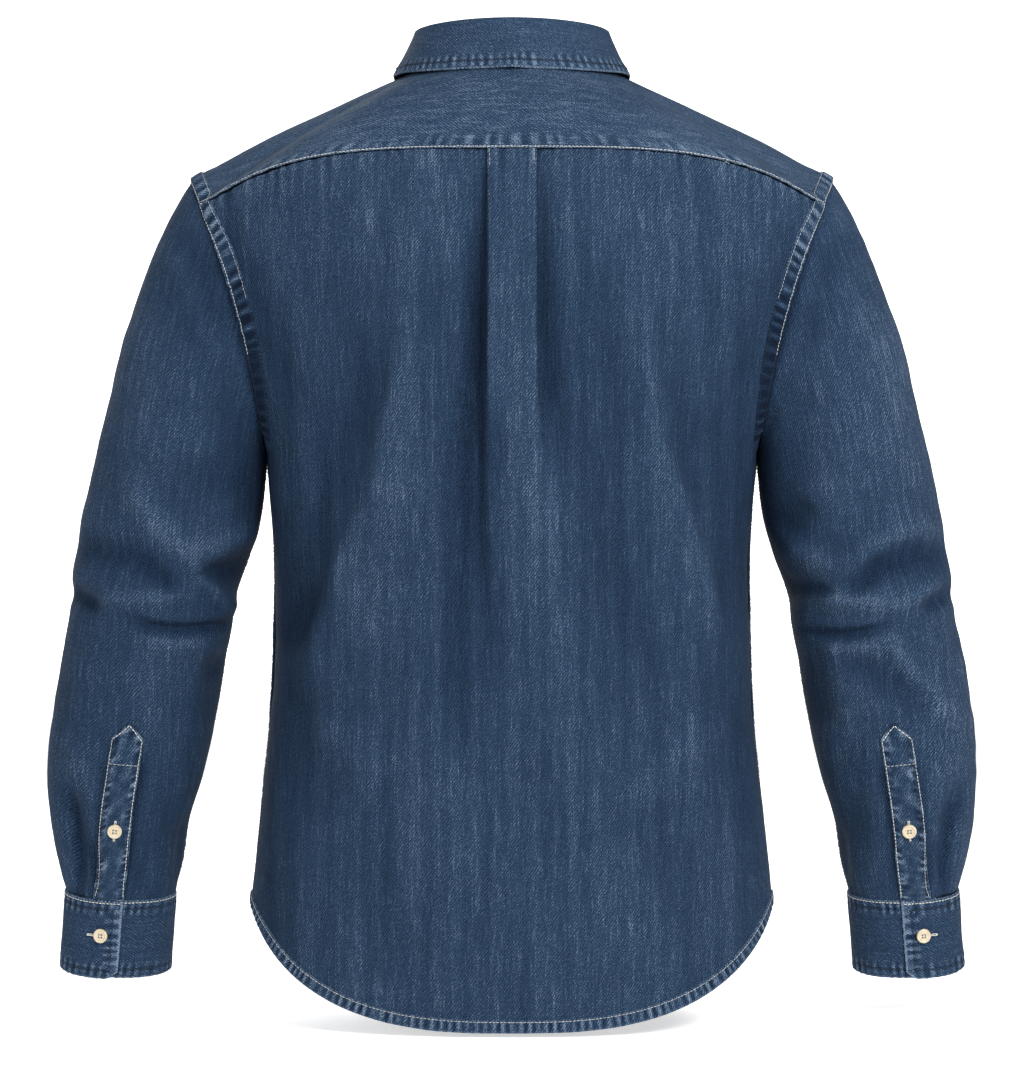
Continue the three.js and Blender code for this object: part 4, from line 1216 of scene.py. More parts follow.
def sleeve_tone(side, points, rows, degrees, down):
    """How faded a sleeve is, apart from its folds, with its painted light and shade."""
    on_back, from_outside = smooth(sind(degrees), 0, 0.3), np.abs(degrees)
    patches = SLEEVE_FADING_AND_SHADE_LEFT if side > 0 else SLEEVE_FADING_AND_SHADE_RIGHT
    tone = fading_and_shade(patches, points[..., 0], points[..., 2]) * on_back
    tone += -0.01 if side > 0 else 0.07
    # painted light along its outside, painted shade under the arm and in the groove beside the
    # armhole's seam
    inner_side = smooth(from_outside, 115, 170)
    tone += (0.14 if side > 0 else 0.12) * (1 - smooth(from_outside, 25, 80)) - 0.1 * inner_side
    tone -= 0.45 * inner_side * smooth(down, 40, 120) * (1 - smooth(down, 200, 300))
    beside_seam = np.exp(-((rows / 0.22) ** 2)) * smooth(-points[..., 2], 60, 170)
    tone -= 0.8 * beside_seam * smooth(sind(degrees), -0.1, 0.3)
    # and painted shadow close to the slit's band, where its edge shades the sleeve
    beside_band = np.abs(degrees - slit_angle(rows)) * 0.9 - SLIT["half_width"]
    close = np.exp(-((np.maximum(beside_band, 0) / 3) ** 2)) * smooth(rows, 11.5, 12)
    return tone - close * np.where(degrees > 90, 0.5, 0.25)


def slit_angle(row):
    """Where the middle of the slit's band lies round the sleeve, in degrees."""
    return SLIT["angle"] - SLIT["twist"] * smooth(row, 12.8, CUFF_ROW + 0.2)


def slit_form(u, row):
    """The slit's band on a sleeve's form: u from edge to edge (-1 to 1), row up the sleeve."""
    middle = slit_angle(row)
    per_degree = np.linalg.norm(sleeve_form(middle + 0.5, row) - sleeve_form(middle - 0.5, row), axis=-1)
    return sleeve_form(middle - u * SLIT["half_width"] / per_degree, row)


def make_cuffs():
    """The cuffs and the bands on the slits above them."""
    for side, name in SIDES:
        make_cuff(side, name)
        make_slit_band(side, name)


def make_cuff(side, name):
    """One cuff, wrapped round its wrist and lapped, with its corners rounded off."""
    s = np.linspace(1, 0, 196)[None]
    h = graded((1, 0.85, 8), (0.85, 0.15, 22), (0.15, 0, 8))[:, None]
    s, h = np.broadcast_arrays(s, h)
    base = cuff_form(s, h)
    along = arc_length(base[0])
    end = s * along[-1]
    round_off = np.clip(1 - end / 9, 0, 1) ** 2 * 5.5
    h = h + np.where(h > 0.5, -(h - 0.5) * 2 * round_off / CUFF["height"], 0)
    down = h * CUFF["height"]
    level = np.minimum(down, CUFF["height"] - down) + round_off * 0.4
    run = lerp(along + 0.1 * down, down, smooth(level - end, -1, 3))
    relief, wear = edge_relief(np.minimum(level, end), run, 100 + side, pitch=7)
    wear = wear + 0.2 * (1 - smooth(end, 5.5, 8)) + 0.3 * (1 - smooth(end, 0.8, 1.8))
    soft = 0.35 * ripple(along[None] + 0 * h, down, 34, 103 + side)
    outer = raised(cuff_form, s, h, 1, lambda p: relief + soft, DOUBLED)
    piece = sew(f"shirt_cuff_{name}", f"cuff_{name}", "washed_bands", outer,
                along[None] - along[-1] / 2, -down, wear + 0.05, thickness=DOUBLED,
                mirror=side < 0, crosswise=True, edge_wear=0.5)


def make_slit_band(side, name):
    """The band over a sleeve's slit, from the cuff up to its pointed end."""
    top, point = SLIT["top_row"], SLIT["point"] / SLIT["row_length"]
    row = graded((CUFF_ROW - 0.03, top + 0.35, 100), (top + 0.35, top, 14))[:, None]
    u = np.linspace(1, -1, 23)[None]
    row, u = np.broadcast_arrays(row, u)
    from_side = 1 - np.abs(u)
    row = row - (1 - smooth(row, top, top + 0.4)) * from_side * point
    base = slit_form(u, row)
    down = (CUFF_ROW - row) * SLIT["row_length"]
    from_top = (row - top + from_side * point) * SLIT["top_row_length"]
    edge = np.minimum(from_side * SLIT["half_width"], np.maximum(from_top, 0))
    wave = puckers(down + 6 * u, SLIT_GATHERS["pitch"], SLIT_GATHERS["seed"] + side)
    band = smooth(edge, 0.4, 2) * (1 - smooth(edge, 3.5, 6))
    n = normal_of(sleeve_form, slit_angle(row) + 0 * u, row, -1)
    on_sleeve = WALL / 2 + sleeve_height(side)(base, slit_angle(row))
    outer = base + n * (on_sleeve + WALL + 0.7 + 0.4 * wave * band)[..., None]
    blotch = ripple(u * 12, down, 13, 120 + side) * (1 - 0.6 * smooth(edge, 6, 10))
    wear = 0.12 + 0.65 * wave * band + 0.5 * blotch
    piece = sew(f"shirt_slit_band_{name}", f"sleeve_placket_{name}", "washed_bands",
                outer, -u * SLIT["half_width"], down, wear,
                thickness=BAND_WALL, mirror=side < 0, edge_wear=0.35)


def make_seams():
    """The folded and felled seams: hems, armholes, sides and the undersides of the sleeves.
    Returns each one's rows of points, their normals and its width."""
    seams = {}

    def strip(name, names, line, width, **more):
        piece, rows, normals = seam_strip(name, names, line, width=width, **more)
        seams[name] = rows, normals, width

    hem = dict(inward=(0, 0, 1), width=HEM_WIDTH, height=1.2, pitch=6.8, puff=0.6, tone=0.25,
               contrast=0.75)
    fell = dict(width=FELL_WIDTH, height=0.7, pitch=7.6, lean=0.5, puff=0.3)
    strip("hem_back", "shirt_back", line_of(back_form, np.linspace(1, -1, 400), 0.0), seed=201,
          **hem)
    for side, name in SIDES:
        flip = np.array([side, 1, 1])
        line = line_of(front_point, np.linspace(0, 1, 200), 0.0) * flip
        strip(f"hem_front_{name}", f"shirt_front_{name}", line, seed=205 + side, **hem)
        line = line_of(lambda a, _: armhole(a), np.linspace(-148, 150, 300), 0.0) * flip
        strip(f"armhole_seam_{name}", f"shirt_back shirt_yoke shirt_front_{name}", line,
              inward=(-side, 0, 0), width=ARMHOLE_WIDTH, height=1.5, pitch=9.4,
              seed=210 + side, lean=0.15, puff=0.7, tone=0.34, contrast=0.75,
              shade=lambda p: smooth(-p[..., 2], 105, 215))
        line = line_of(front_point, 0.985, np.linspace(0.03, 3.9, 200)) * flip
        strip(f"side_seam_{name}", f"shirt_front_{name}", line, inward=(-side * 0.5, -0.8, 0),
              seed=220 + side, **fell)
        line = line_of(sleeve_form, -168.0, np.linspace(1.0, CUFF_ROW - 0.05, 300)) * flip
        strip(f"sleeve_seam_{name}", f"shirt_sleeve_{name}", line, inward=(0, -1, 0),
              seed=230 + side, **fell)
    return seams


def make_stitching(seams):
    """Every row of stitches, in cream and in dark blue thread."""
    cream, dark = Thread(0.56), Thread(0.62)
    for name, seam in seams.items():
        if name.startswith("armhole"):
            stitch_armhole(cream, dark, *seam)
        else:
            stitch_strip(cream, *seam, is_hem=name.startswith("hem"))
    stitch_back(cream)
    for side, _ in SIDES:
        stitch_front(cream, side)
    stitch_collar(cream, dark)
    for side, name in SIDES:
        stitch_leaf_end(dark, side)
        stitch_cuff(cream, dark, side, name)
        stitch_slit_band(cream, dark, side, name)
        stitch_armhole_end(cream, side, name)
    for name, thread in (("stitching_cream", cream), ("stitching_dark", dark)):
        piece = thread.build(name, bpy.data.materials[name])


def inset(thread, names, line, inward, distance, side=1, trim=0.0, **more):
    """A row of stitches at a distance inward from a line, which is the wearer's left one, or
    its mirror image where side is -1. trim is left off at both ends."""
    flip = np.array([side, 1, 1])
    rows, normals = walked(names, line * flip, np.array(inward) * flip, [distance])
    cut = int(trim / LINE_SPACING)
    kept = slice(cut, len(line) - cut)
    thread.seam(rows[0][kept], normals[0][kept], **more)


def stitch_armhole(cream, dark, rows, normals, width):
    """Both rows round an armhole, cream above its foot and dark below: the dark thread is painted shade
    where the sleeve hangs over the seam.
    """
    for stitches in ARMHOLE_STITCHES:
        edge, out = between_rows(rows, normals, stitches["inset"], width)
        high = np.flatnonzero(edge[:, 2] > stitches["foot"])
        first, last = high[0], high[-1] + 1
        parts = (slice(None, first), slice(first, last), slice(last, None))
        for part, thread in zip(parts, (dark, cream, dark)):
            thread.seam(edge[part], out[part], seed=300, thickness=stitches["thickness"])


def stitch_strip(cream, rows, normals, width, is_hem):
    """A hem's one row, or the two rows of a felled seam."""
    thickness = 0.32 if is_hem else 0.5
    cream.seam(*between_rows(rows, normals, width - 1.7, width), seed=301, thickness=thickness)
    if not is_hem:
        cream.seam(*between_rows(rows, normals, 1.3, width), seed=302)


def stitch_back(cream):
    """The yoke's lower edge, and two short rows that hold the box pleat."""
    line = line_of(yoke_form, np.linspace(-67.6, 67.6, 400), 1.0)
    inset(cream, "shirt_yoke", line, (0, 0, 1), 0.55, seed=310, thickness=0.42)
    for x, foot in ((18.3, -74), (-18.5, -70)):
        line = np.linspace((x, 101, -53), (x * 1.01, 106, foot), 18)
        spots, out = on_skin("shirt_back", line + (0, 6, 0))
        cream.seam(spots, out, seed=311, thickness=0.26)


def stitch_front(cream, side):
    """One side's shoulder, and its edge of the front's band."""
    line = line_of(yoke_form, 114.9, np.linspace(0.03, 0.97, 120))
    inset(cream, "shirt_yoke", line, (0, 1, 0.3), 1.5, side, seed=312)
    line = line_of(lambda x, z: vec(x, FRONT_AT_HEIGHT(z)[1] - 4, z), side * CLOSURE["half"],
                   np.linspace(-709, -76, 400))
    inset(cream, "shirt_front_band", line, (-side, 0, 0), EDGE_STITCH, seed=313 + side)


def stitch_collar(cream, dark):
    """The long rows round the collar's leaf and its stand."""
    line = line_of(leaf_form, np.linspace(-LEAF["end"], LEAF["end"], 400), 0.97)
    inset(dark, "shirt_collar_leaf", line, (0, 0, 1), EDGE_STITCH, trim=EDGE_STITCH, seed=320)
    line = line_of(stand_form, np.linspace(-STAND["end"] + 1, STAND["end"] - 1, 400), 0.0)
    inset(cream, "shirt_collar_stand", line, (0, 0, 1), 1.5, seed=322)


def stitch_leaf_end(dark, side):
    """The dark row inside one end of the collar's leaf."""
    line = line_of(leaf_form, LEAF["end"], np.linspace(0.1, 1, 100))
    inset(dark, "shirt_collar_leaf", line, (1, 1, 0), EDGE_STITCH, side, trim=EDGE_STITCH, seed=323)


def stitch_cuff(cream, dark, side, name):
    """The row that sews a cuff on, and the dark rows inside its edges."""
    cuff = f"shirt_cuff_{name}"
    top = line_of(cuff_form, np.linspace(0.004, 0.9, 300), 0.0)
    bottom = line_of(cuff_form, np.linspace(0.012, 0.9, 300), 1.0)
    end = line_of(cuff_form, 0.0, np.linspace(0, 0.95, 80))
    inset(cream, cuff, top, (0, 0, -1), 1.3, side, seed=330)
    inset(dark, cuff, top, (0, 0, -1), 6.6, side, trim=6.6, seed=331)
    inset(dark, cuff, bottom, (0, 0, 1), 6.4, side, trim=6.4, seed=332)
    inset(dark, cuff, end, (1, 0, 0), 6.4, side, trim=6.4, seed=333)


def stitch_slit_band(cream, dark, side, name):
    """The rows up a slit's band, round its point, and across below it."""
    edge, tip = 1 - 0.5 / SLIT["half_width"], SLIT["point"] / SLIT["row_length"]
    row = np.linspace(CUFF_ROW - 0.06, SLIT["top_row"] + 0.04, 140)
    for u, thickness in ((edge, 0.36), (-edge, 0.5)):
        on_band(cream, name, slit_line(u + 0 * row, row), side, thickness)
    share = np.linspace(0, 1, 16)
    for u in (edge, -edge):
        line = slit_line(u * (1 - share), SLIT["top_row"] + 0.04 - tip * share)
        on_band(cream, name, line, side)
    on_band(dark, name, slit_line(edge - 0.17 + 0 * row, row), side)
    line = slit_line(np.linspace(edge, -edge, 24), np.full(24, SLIT["top_row"] + 0.41))
    on_band(cream, name, line, side, 0.3)


def stitch_armhole_end(cream, side, name):
    """The short row across the armhole's seam where the yoke's row meets it."""
    line = lerp(armhole(35.5), yoke_form(67.0, 1.0), np.linspace(0, 0.8, 12)[:, None])
    spots, out = on_skin(f"armhole_seam_{name}", line * (side, 1, 1) + (0, 5, 0))
    cream.seam(spots, out, seed=341)


def slit_line(u, row):
    """A line of evenly spaced points, 1 mm apart, on the slit's form."""
    points = slit_form(u, row)
    return resampled(points, max(4, int(arc_length(points)[-1])))


def on_band(thread, name, line, side, thickness=None):
    """A row of stitches on a slit's band, under a line on the sleeve's form."""
    spots, out = on_skin(f"shirt_slit_band_{name}", line * (side, 1, 1) + (0, 4, 0))
    thread.seam(spots, out, seed=340, thickness=thickness)


# ------------------------------------------------------------------ buttons
def linked(mesh, name):
    """A finished bmesh as an object in the scene."""
    data = bpy.data.meshes.new(name)
    mesh.to_mesh(data)
    mesh.free()
    piece = bpy.data.objects.new(name, data)
    bpy.context.scene.collection.objects.link(piece)
    return piece


def button_blank(sides=56):
    """A shell button before its holes, dished inside a rounded rim, facing +Z."""
    r, h = BUTTON["radius"], BUTTON["height"]
    rim, dish = r - BUTTON["rim"], h - BUTTON["dish"]
    profile = (
        (r - 1.0, 0), (r - 0.35, 0.12), (r, 0.7), (r, 1.35), (r - 0.2, h - 0.4),
        (r - 0.6, h - 0.1), (r - 1.05, h), (rim + 0.15, h - 0.12),
        (rim - 0.25, h - BUTTON["dish"] * 0.8), (rim - 0.8, dish), (rim - 1.4, dish),
    )
    turns = [math.tau * k / sides for k in range(sides)]
    mesh = bmesh.new()
    rings = [
        [mesh.verts.new((x * MM * math.cos(a), x * MM * math.sin(a), z * MM)) for a in turns]
        for x, z in profile
    ]
    for low, high in zip(rings, rings[1:]):
        for k in range(sides):
            mesh.faces.new((low[k], low[(k + 1) % sides], high[(k + 1) % sides], high[k]))
    mesh.faces.new(rings[0][::-1])
    mesh.faces.new(rings[-1])
    return linked(mesh, "button_blank")


def button_drill():
    """The four round bits that cut a button's holes."""
    bits = bmesh.new()
    height, spread, hole = (BUTTON[key] * MM for key in ("height", "spread", "hole"))
    for k in range(4):
        a = math.tau * (k + 0.5) / 4
        spot = Matrix.Translation((spread * math.cos(a), spread * math.sin(a), height / 2))
        bmesh.ops.create_cone(bits, cap_ends=True, segments=20, radius1=hole, radius2=hole,
                              depth=height * 2, matrix=spot)
    return linked(bits, "button_drill")


def button_mesh():
    """A four-hole shell button."""
    blank, drill = button_blank(), button_drill()
    cut = blank.modifiers.new("holes", "BOOLEAN")
    cut.operation, cut.solver, cut.object = "DIFFERENCE", "EXACT", drill
    graph = bpy.context.evaluated_depsgraph_get()
    made = bpy.data.meshes.new_from_object(blank.evaluated_get(graph))
    made.name = "button"
    for tool in (blank, drill):
        bpy.data.objects.remove(tool)
    if len(made.polygons) < 100:
        raise RuntimeError("the button's holes weren't cut")
    made.polygons.foreach_set("use_smooth", np.ones(len(made.polygons), bool))
    made.set_sharp_from_angle(angle=math.radians(38))
    made.materials.append(bpy.data.materials["shell"])
    return made


def button_places():
    """For each button: its node, the piece it lies on, its middle, near enough, in mm, the
    way its buttonhole runs, and how far the buttonhole is off its middle."""
    places = []
    for i in range(FRONT_BUTTONS["count"]):
        z = FRONT_BUTTONS["top"] - i * FRONT_BUTTONS["spacing"]
        spot = vec(0, FRONT_AT_HEIGHT(z)[1] - 4, z)
        places.append((f"front_button_{i + 1}", "shirt_front_band", spot, (0, 0, 1), 0))
    spot = stand_form(np.array(178.0), np.array(0.5)) + (0, -2, 0)
    places.append(("collar_button", "shirt_collar_stand", spot, (1, 0, 0), 0))
    for side, name in SIDES:
        flip = np.array([side, 1, 1])
        row = np.array(SLIT_BUTTON_ROW)
        spot = slit_form(0 * row, row) + (0, 4, 0)
        up = slit_form(0 * row, row - 0.3) - slit_form(0 * row, row + 0.3)
        places.append((f"sleeve_button_{name}", f"shirt_slit_band_{name}", spot * flip, up * flip, 0))
        s, h = np.array(CUFF_BUTTON["s"]), np.array(CUFF_BUTTON["h"])
        spot = cuff_form(s, h) + (0, 3, 0)
        along = cuff_form(s + 0.01, h) - cuff_form(s, h)
        places.append((f"cuff_button_{name}", f"shirt_cuff_{name}", spot * flip, along * flip, 3.2))
    return places


def make_buttons():
    """Each button with its thread, and the buttonhole it comes through."""
    mesh = button_mesh()
    holes, ties = Thread(0.5), Thread(0.66)
    for cad_node, under, spot, way, offset in button_places():
        places, normals = on_skin(under, spot[None])
        place, out = places[0], normals[0]
        way = unit(np.array(way) - out * np.dot(way, out))
        wide = np.cross(out, way)
        seat_button(mesh, cad_node, place, way, wide, out)
        tie_button(ties, place, way, wide, out)
        work_buttonhole(holes, place + way * offset, way, wide, out)
    for name, thread in (("buttonholes", holes), ("button_threads", ties)):
        thread.build(name, bpy.data.materials["stitching_cream"])


def seat_button(mesh, cad_node, place, way, wide, out):
    """A button on the cloth at place, facing out, in place of its solid in the frame."""
    button = bpy.data.objects.new(f"shell_{cad_node}", mesh)
    bpy.context.scene.collection.objects.link(button)
    turn = Matrix((tuple(way), tuple(wide), tuple(out))).transposed()
    seat = Matrix.Translation(Vector((place + out * BUTTON["lift"]) * MM))
    button.matrix_world = seat @ turn.to_4x4()
    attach(button, "root")
    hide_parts(cad_node)


def tie_button(ties, place, way, wide, out):
    """Two turns of thread through a button's holes."""
    top = place + out * (BUTTON["lift"] + BUTTON["height"] - BUTTON["dish"] - 0.75)
    reach = BUTTON["spread"] * math.sqrt(0.5)
    for end in (-1, 1):
        threads = np.array([top + (way * end + wide * rail) * reach for rail in (-1, 1)])
        ties.bars(threads - way * 0.5, threads + way * 0.5, np.broadcast_to(out, threads.shape))


def work_buttonhole(holes, middle, way, wide, out):
    """A buttonhole's two rows of close stitches, with a bar across each end."""
    at = np.arange(-7.4, 7.5, 0.52)[:, None]
    for rail in (-1, 1):
        inner = middle + way * at + wide * rail * 0.15 + out * 0.12
        outer = middle + way * at + wide * rail * 0.95 + out * 0.12
        holes.bars(inner, outer, np.broadcast_to(out, inner.shape), arch=0.3)
    for end in (-7.9, 7.9):
        bar = middle + way * end + out * 0.15
        starts = np.array([bar + way * k - wide for k in (-0.3, 0.3)])
        holes.bars(starts, starts + wide * 2, np.broadcast_to(out, starts.shape), arch=0.35)


# ------------------------------------------------------------------ materials
def feed(tree, made, inputs):
    """Sets a node's inputs, or links those given as another node's socket."""
    for key, value in inputs.items():
        if isinstance(value, bpy.types.NodeSocket):
            tree.links.new(value, made.inputs[key])
        else:
            made.inputs[key].default_value = value


def node(tree, kind, inputs=None, **settings):
    """A new shader node, with its settings made and its inputs fed."""
    made = tree.nodes.new("ShaderNode" + kind)
    for key, value in settings.items():
        setattr(made, key, value)
    feed(tree, made, inputs or {})
    return made


def math_node(tree, operation, a, b=0.0, c=0.0):
    """What one operation makes of its inputs."""
    return node(tree, "Math", {0: a, 1: b, 2: c}, operation=operation).outputs[0]


def noise(tree, place, scale, detail=2.0, roughness=0.5):
    """A noise texture's value on a place stretched by scale, per metre."""
    where = node(tree, "VectorMath", {0: place, 1: scale}, operation="MULTIPLY").outputs[0]
    return node(tree, "TexNoise", {"Vector": where, "Scale": 1.0, "Detail": detail,
                                   "Roughness": roughness}).outputs[0]


def levels(tree, value, low, high, to_low=0.0, to_high=1.0):
    """A value between low and high, spread softly over another range."""
    return node(tree, "MapRange", {0: value, 1: low, 2: high, 3: to_low, 4: to_high},
                interpolation_type="SMOOTHSTEP").outputs[0]


def bumped(tree, height, strength, distance):
    """A surface's normal, raised by height, with distance in metres."""
    return node(tree, "Bump", {"Height": height, "Strength": strength,
                               "Distance": distance}).outputs[0]


def new_material(name):
    """An empty material's node tree, and its shader."""
    material = bpy.data.materials.new(name)
    if material.name != name:
        raise RuntimeError(f"there is a material {name} already")
    material.use_nodes = True
    tree = material.node_tree
    tree.nodes.clear()
    shader = node(tree, "BsdfPrincipled")
    out = node(tree, "OutputMaterial")
    tree.links.new(shader.outputs[0], out.inputs[0])
    return tree, shader


def ramp(tree, value, *stops):
    """A colour for each value, from stops of (value, colour)."""
    made = node(tree, "ValToRGB", {0: value})
    points = made.color_ramp.elements
    while len(points) < len(stops):
        points.new(0.5)
    for point, (place, colour) in zip(points, stops):
        point.position, point.color = place, (*colour, 1)
    return made.outputs[0]


def make_denim(name, settings, slubs, shift):
    """Washed denim: blue warp in fine diagonal ridges, pale slubs along the warp, and each
    piece's paler and darker marks: its own paling where it is rubbed, and painted light and shade."""
    tree, shader = new_material(name)
    place = node(tree, "Attribute", attribute_name="cloth").outputs["Vector"]
    wear = node(tree, "Attribute", attribute_name="wear").outputs["Fac"]
    inside = node(tree, "SeparateXYZ", {0: place}).outputs[2]
    bend = noise(tree, place, (90, 60, 40), 2.0)
    bent = node(tree, "CombineXYZ", {0: math_node(tree, "MULTIPLY", bend, 0.0016),
                                     1: math_node(tree, "MULTIPLY", bend, 0.0009), 2: 0.0}).outputs[0]
    soft = node(tree, "VectorMath", {0: place, 1: bent}, operation="ADD").outputs[0]
    turned = node(tree, "VectorRotate", {"Vector": soft, "Axis": (0, 0, 1), "Angle": math.radians(-54)},
                  rotation_type="AXIS_ANGLE").outputs[0]
    pitch = 1.0 / settings.twill_pitch
    across = node(tree, "SeparateXYZ", {0: turned}).outputs[1]
    sway = noise(tree, turned, (pitch * 0.1, pitch * 0.3, 1), 2.0, 0.6)
    phase = math_node(tree, "MULTIPLY_ADD", sway, 5.5, math_node(tree, "MULTIPLY", across, math.tau * pitch))
    clear = levels(tree, noise(tree, place, (120, 90, 1), 2.0), 0.35, 0.65, 0.22, 0.5)
    twill = math_node(tree, "MULTIPLY_ADD", math_node(tree, "SINE", phase), clear, 0.5)
    dash = noise(tree, turned, (pitch * 0.4, pitch * 2.1, 1), 0.0)
    grain = noise(tree, soft, (pitch * 2.1, pitch * 1.7, 1), 0.0)
    slub = noise(tree, soft, (pitch * 1.2, pitch * 0.07, 1), 1.0, 0.6)
    streak = noise(tree, soft, (190, 11, 1), 2.0, 0.6)
    mottle = noise(tree, place, (46, 34, 1), 4.0, 0.65)
    total = shift
    for value, low, high, amount in (
        (twill, 0.0, 1.0, settings.twill), (dash, 0.3, 0.7, settings.grain * 0.7),
        (grain, 0.3, 0.7, settings.grain * 1.5), (slub, 0.45, 0.75, slubs),
        (streak, 0.35, 0.7, slubs * 0.4), (mottle, 0.3, 0.7, settings.mottle),
    ):
        total = math_node(tree, "MULTIPLY_ADD", levels(tree, value, low, high), amount, total)
    total = math_node(tree, "MULTIPLY_ADD", wear, settings.fading_and_shade, total)
    total = math_node(tree, "MULTIPLY_ADD", inside, 0.25, total)
    deep, mid, pale = (tuple(getattr(settings, key)) for key in ("deep", "mid", "pale"))
    relief = math_node(tree, "MULTIPLY_ADD", twill, 0.5, math_node(tree, "MULTIPLY", grain, 0.5))
    feed(tree, shader, {
        "Base Color": ramp(tree, total, (0.0, deep), (0.5, mid), (1.0, pale)),
        "Roughness": 0.88,
        "Specular IOR Level": 0.08,
        "Normal": bumped(tree, relief, 0.8, 0.0006),
    })


def make_thread_material(name, colour, shade):
    """Spun thread, uneven in colour and slightly fibrous."""
    tree, shader = new_material(name)
    place = node(tree, "TexCoord").outputs["Object"]
    tone = noise(tree, place, (900, 900, 900), 2.0)
    fibres = noise(tree, place, (2600, 2600, 2600), 1.0)
    feed(tree, shader, {
        "Base Color": ramp(tree, tone, (0.3, shade), (0.65, colour)),
        "Roughness": 0.7,
        "Normal": bumped(tree, fibres, 0.4, 0.0002),
    })


def make_button_material(settings):
    """Clouded, softly polished shell."""
    tree, shader = new_material("shell")
    place = node(tree, "TexCoord").outputs["Object"]
    cloud = noise(tree, place, (260, 260, 500), 3.0, 0.6)
    pale, shade = tuple(settings.shell), tuple(settings.shell_shade)
    feed(tree, shader, {
        "Base Color": ramp(tree, cloud, (0.35, shade), (0.65, pale)),
        "Roughness": 0.32,
        "Coat Weight": 0.15,
        "Normal": bumped(tree, cloud, 0.1, 0.0003),
    })


def make_stage_materials():
    """A pale floor, lit from below behind the shirt so that it melts into the white backdrop,
    and dimmer walls on the other sides."""
    for name, strength in (("floor", 0.55), ("backdrop", 1.0), ("walls", 0.5)):
        tree, shader = new_material(name)
        place = node(tree, "TexCoord").outputs["Object"]
        tone = noise(tree, place, (3, 3, 3), 2.0)
        glow = strength
        if name == "floor":
            y, dim = node(tree, "SeparateXYZ", {0: place}).outputs[1], 0.26
            near = levels(tree, y, 0.35, 0.9, strength, dim)
            far = levels(tree, y, 2, 3.5, dim, strength)
            glow = math_node(tree, "MAXIMUM", near, far)
        feed(tree, shader, {
            "Base Color": ramp(tree, tone, (0.3, (0.84, 0.84, 0.84)), (0.7, (0.88, 0.88, 0.88))),
            "Roughness": 0.9,
            "Specular IOR Level": 0.1,
            "Emission Color": (1, 1, 1, 1),
            "Emission Strength": glow,
        })


# ------------------------------------------------------------------ stage
def make_stage(settings):
    """Camera, world, soft lights, floor and walls."""
    scene = bpy.context.scene
    scene.camera = make_camera(settings)
    scene.view_settings.view_transform = "Standard"

    world = bpy.data.worlds.new("studio")
    world.use_nodes = True
    background = world.node_tree.nodes["Background"]
    background.inputs[0].default_value = (0.98, 0.99, 1, 1)
    background.inputs[1].default_value = settings.ambient
    scene.world = world

    make_lamp("key", (-1.3, 2.45, 1.05), (0.9, 0.9), settings.key)
    make_lamp("fill", (2.2, 2.0, 0.3), (1.4, 1.4), settings.fill)
    make_lamp("top", (-0.1, 0.5, 2.0), (1.4, 1.0), settings.top)
    make_lamp("front", (0.9, -2.5, 0.7), (1.6, 1.6), settings.front)
    make_stage_materials()
    make_room(CAD_BOX[0][2] - settings.drop)


def make_camera(settings):
    """The camera, level behind the shirt."""
    camera = bpy.data.objects.new("camera", bpy.data.cameras.new("camera"))
    camera.location = (0, settings.distance, settings.height)
    camera.rotation_euler = (math.radians(90), 0, math.radians(180))
    camera.data.lens = settings.lens
    camera.data.sensor_width = 36
    bpy.context.scene.collection.objects.link(camera)
    return camera


def make_lamp(name, place, size, power):
    """A soft, flat lamp aimed at the shirt's middle."""
    light = bpy.data.lights.new(name, "AREA")
    light.shape, light.size, light.size_y, light.energy = "RECTANGLE", *size, power
    lamp = bpy.data.objects.new(name, light)
    lamp.location = place
    lamp.visible_camera = False
    aim = Vector((0, 0, -0.36)) - lamp.location
    lamp.rotation_euler = aim.to_track_quat("-Z", "Y").to_euler()
    bpy.context.scene.collection.objects.link(lamp)


def make_room(floor, reach=7, half_high=1.6):
    """The floor at a height, and four walls round it, the backdrop before the camera."""
    ground = stage_plane("floor", reach, reach, (0, 0, floor), (0, 0))
    walls = [
        stage_plane("backdrop" if turn == 0 else "walls", reach, half_high,
                    (reach * sind(turn), -reach * cosd(turn), floor + half_high), (90, turn))
        for turn in (0, 90, 180, 270)
    ]


def stage_plane(name, half_wide, half_high, place, tilt):
    """A flat sheet of the floor or a wall, tilted by degrees about x and then z."""
    grid = bmesh.new()
    bmesh.ops.create_grid(grid, x_segments=8, y_segments=8, size=half_wide)
    bmesh.ops.scale(grid, vec=(1, half_high / half_wide, 1), verts=grid.verts)
    plane = linked(grid, name)
    plane.data.materials.append(bpy.data.materials[name])
    plane.location = place
    plane.rotation_euler = (math.radians(tilt[0]), 0, math.radians(tilt[1]))
    return plane


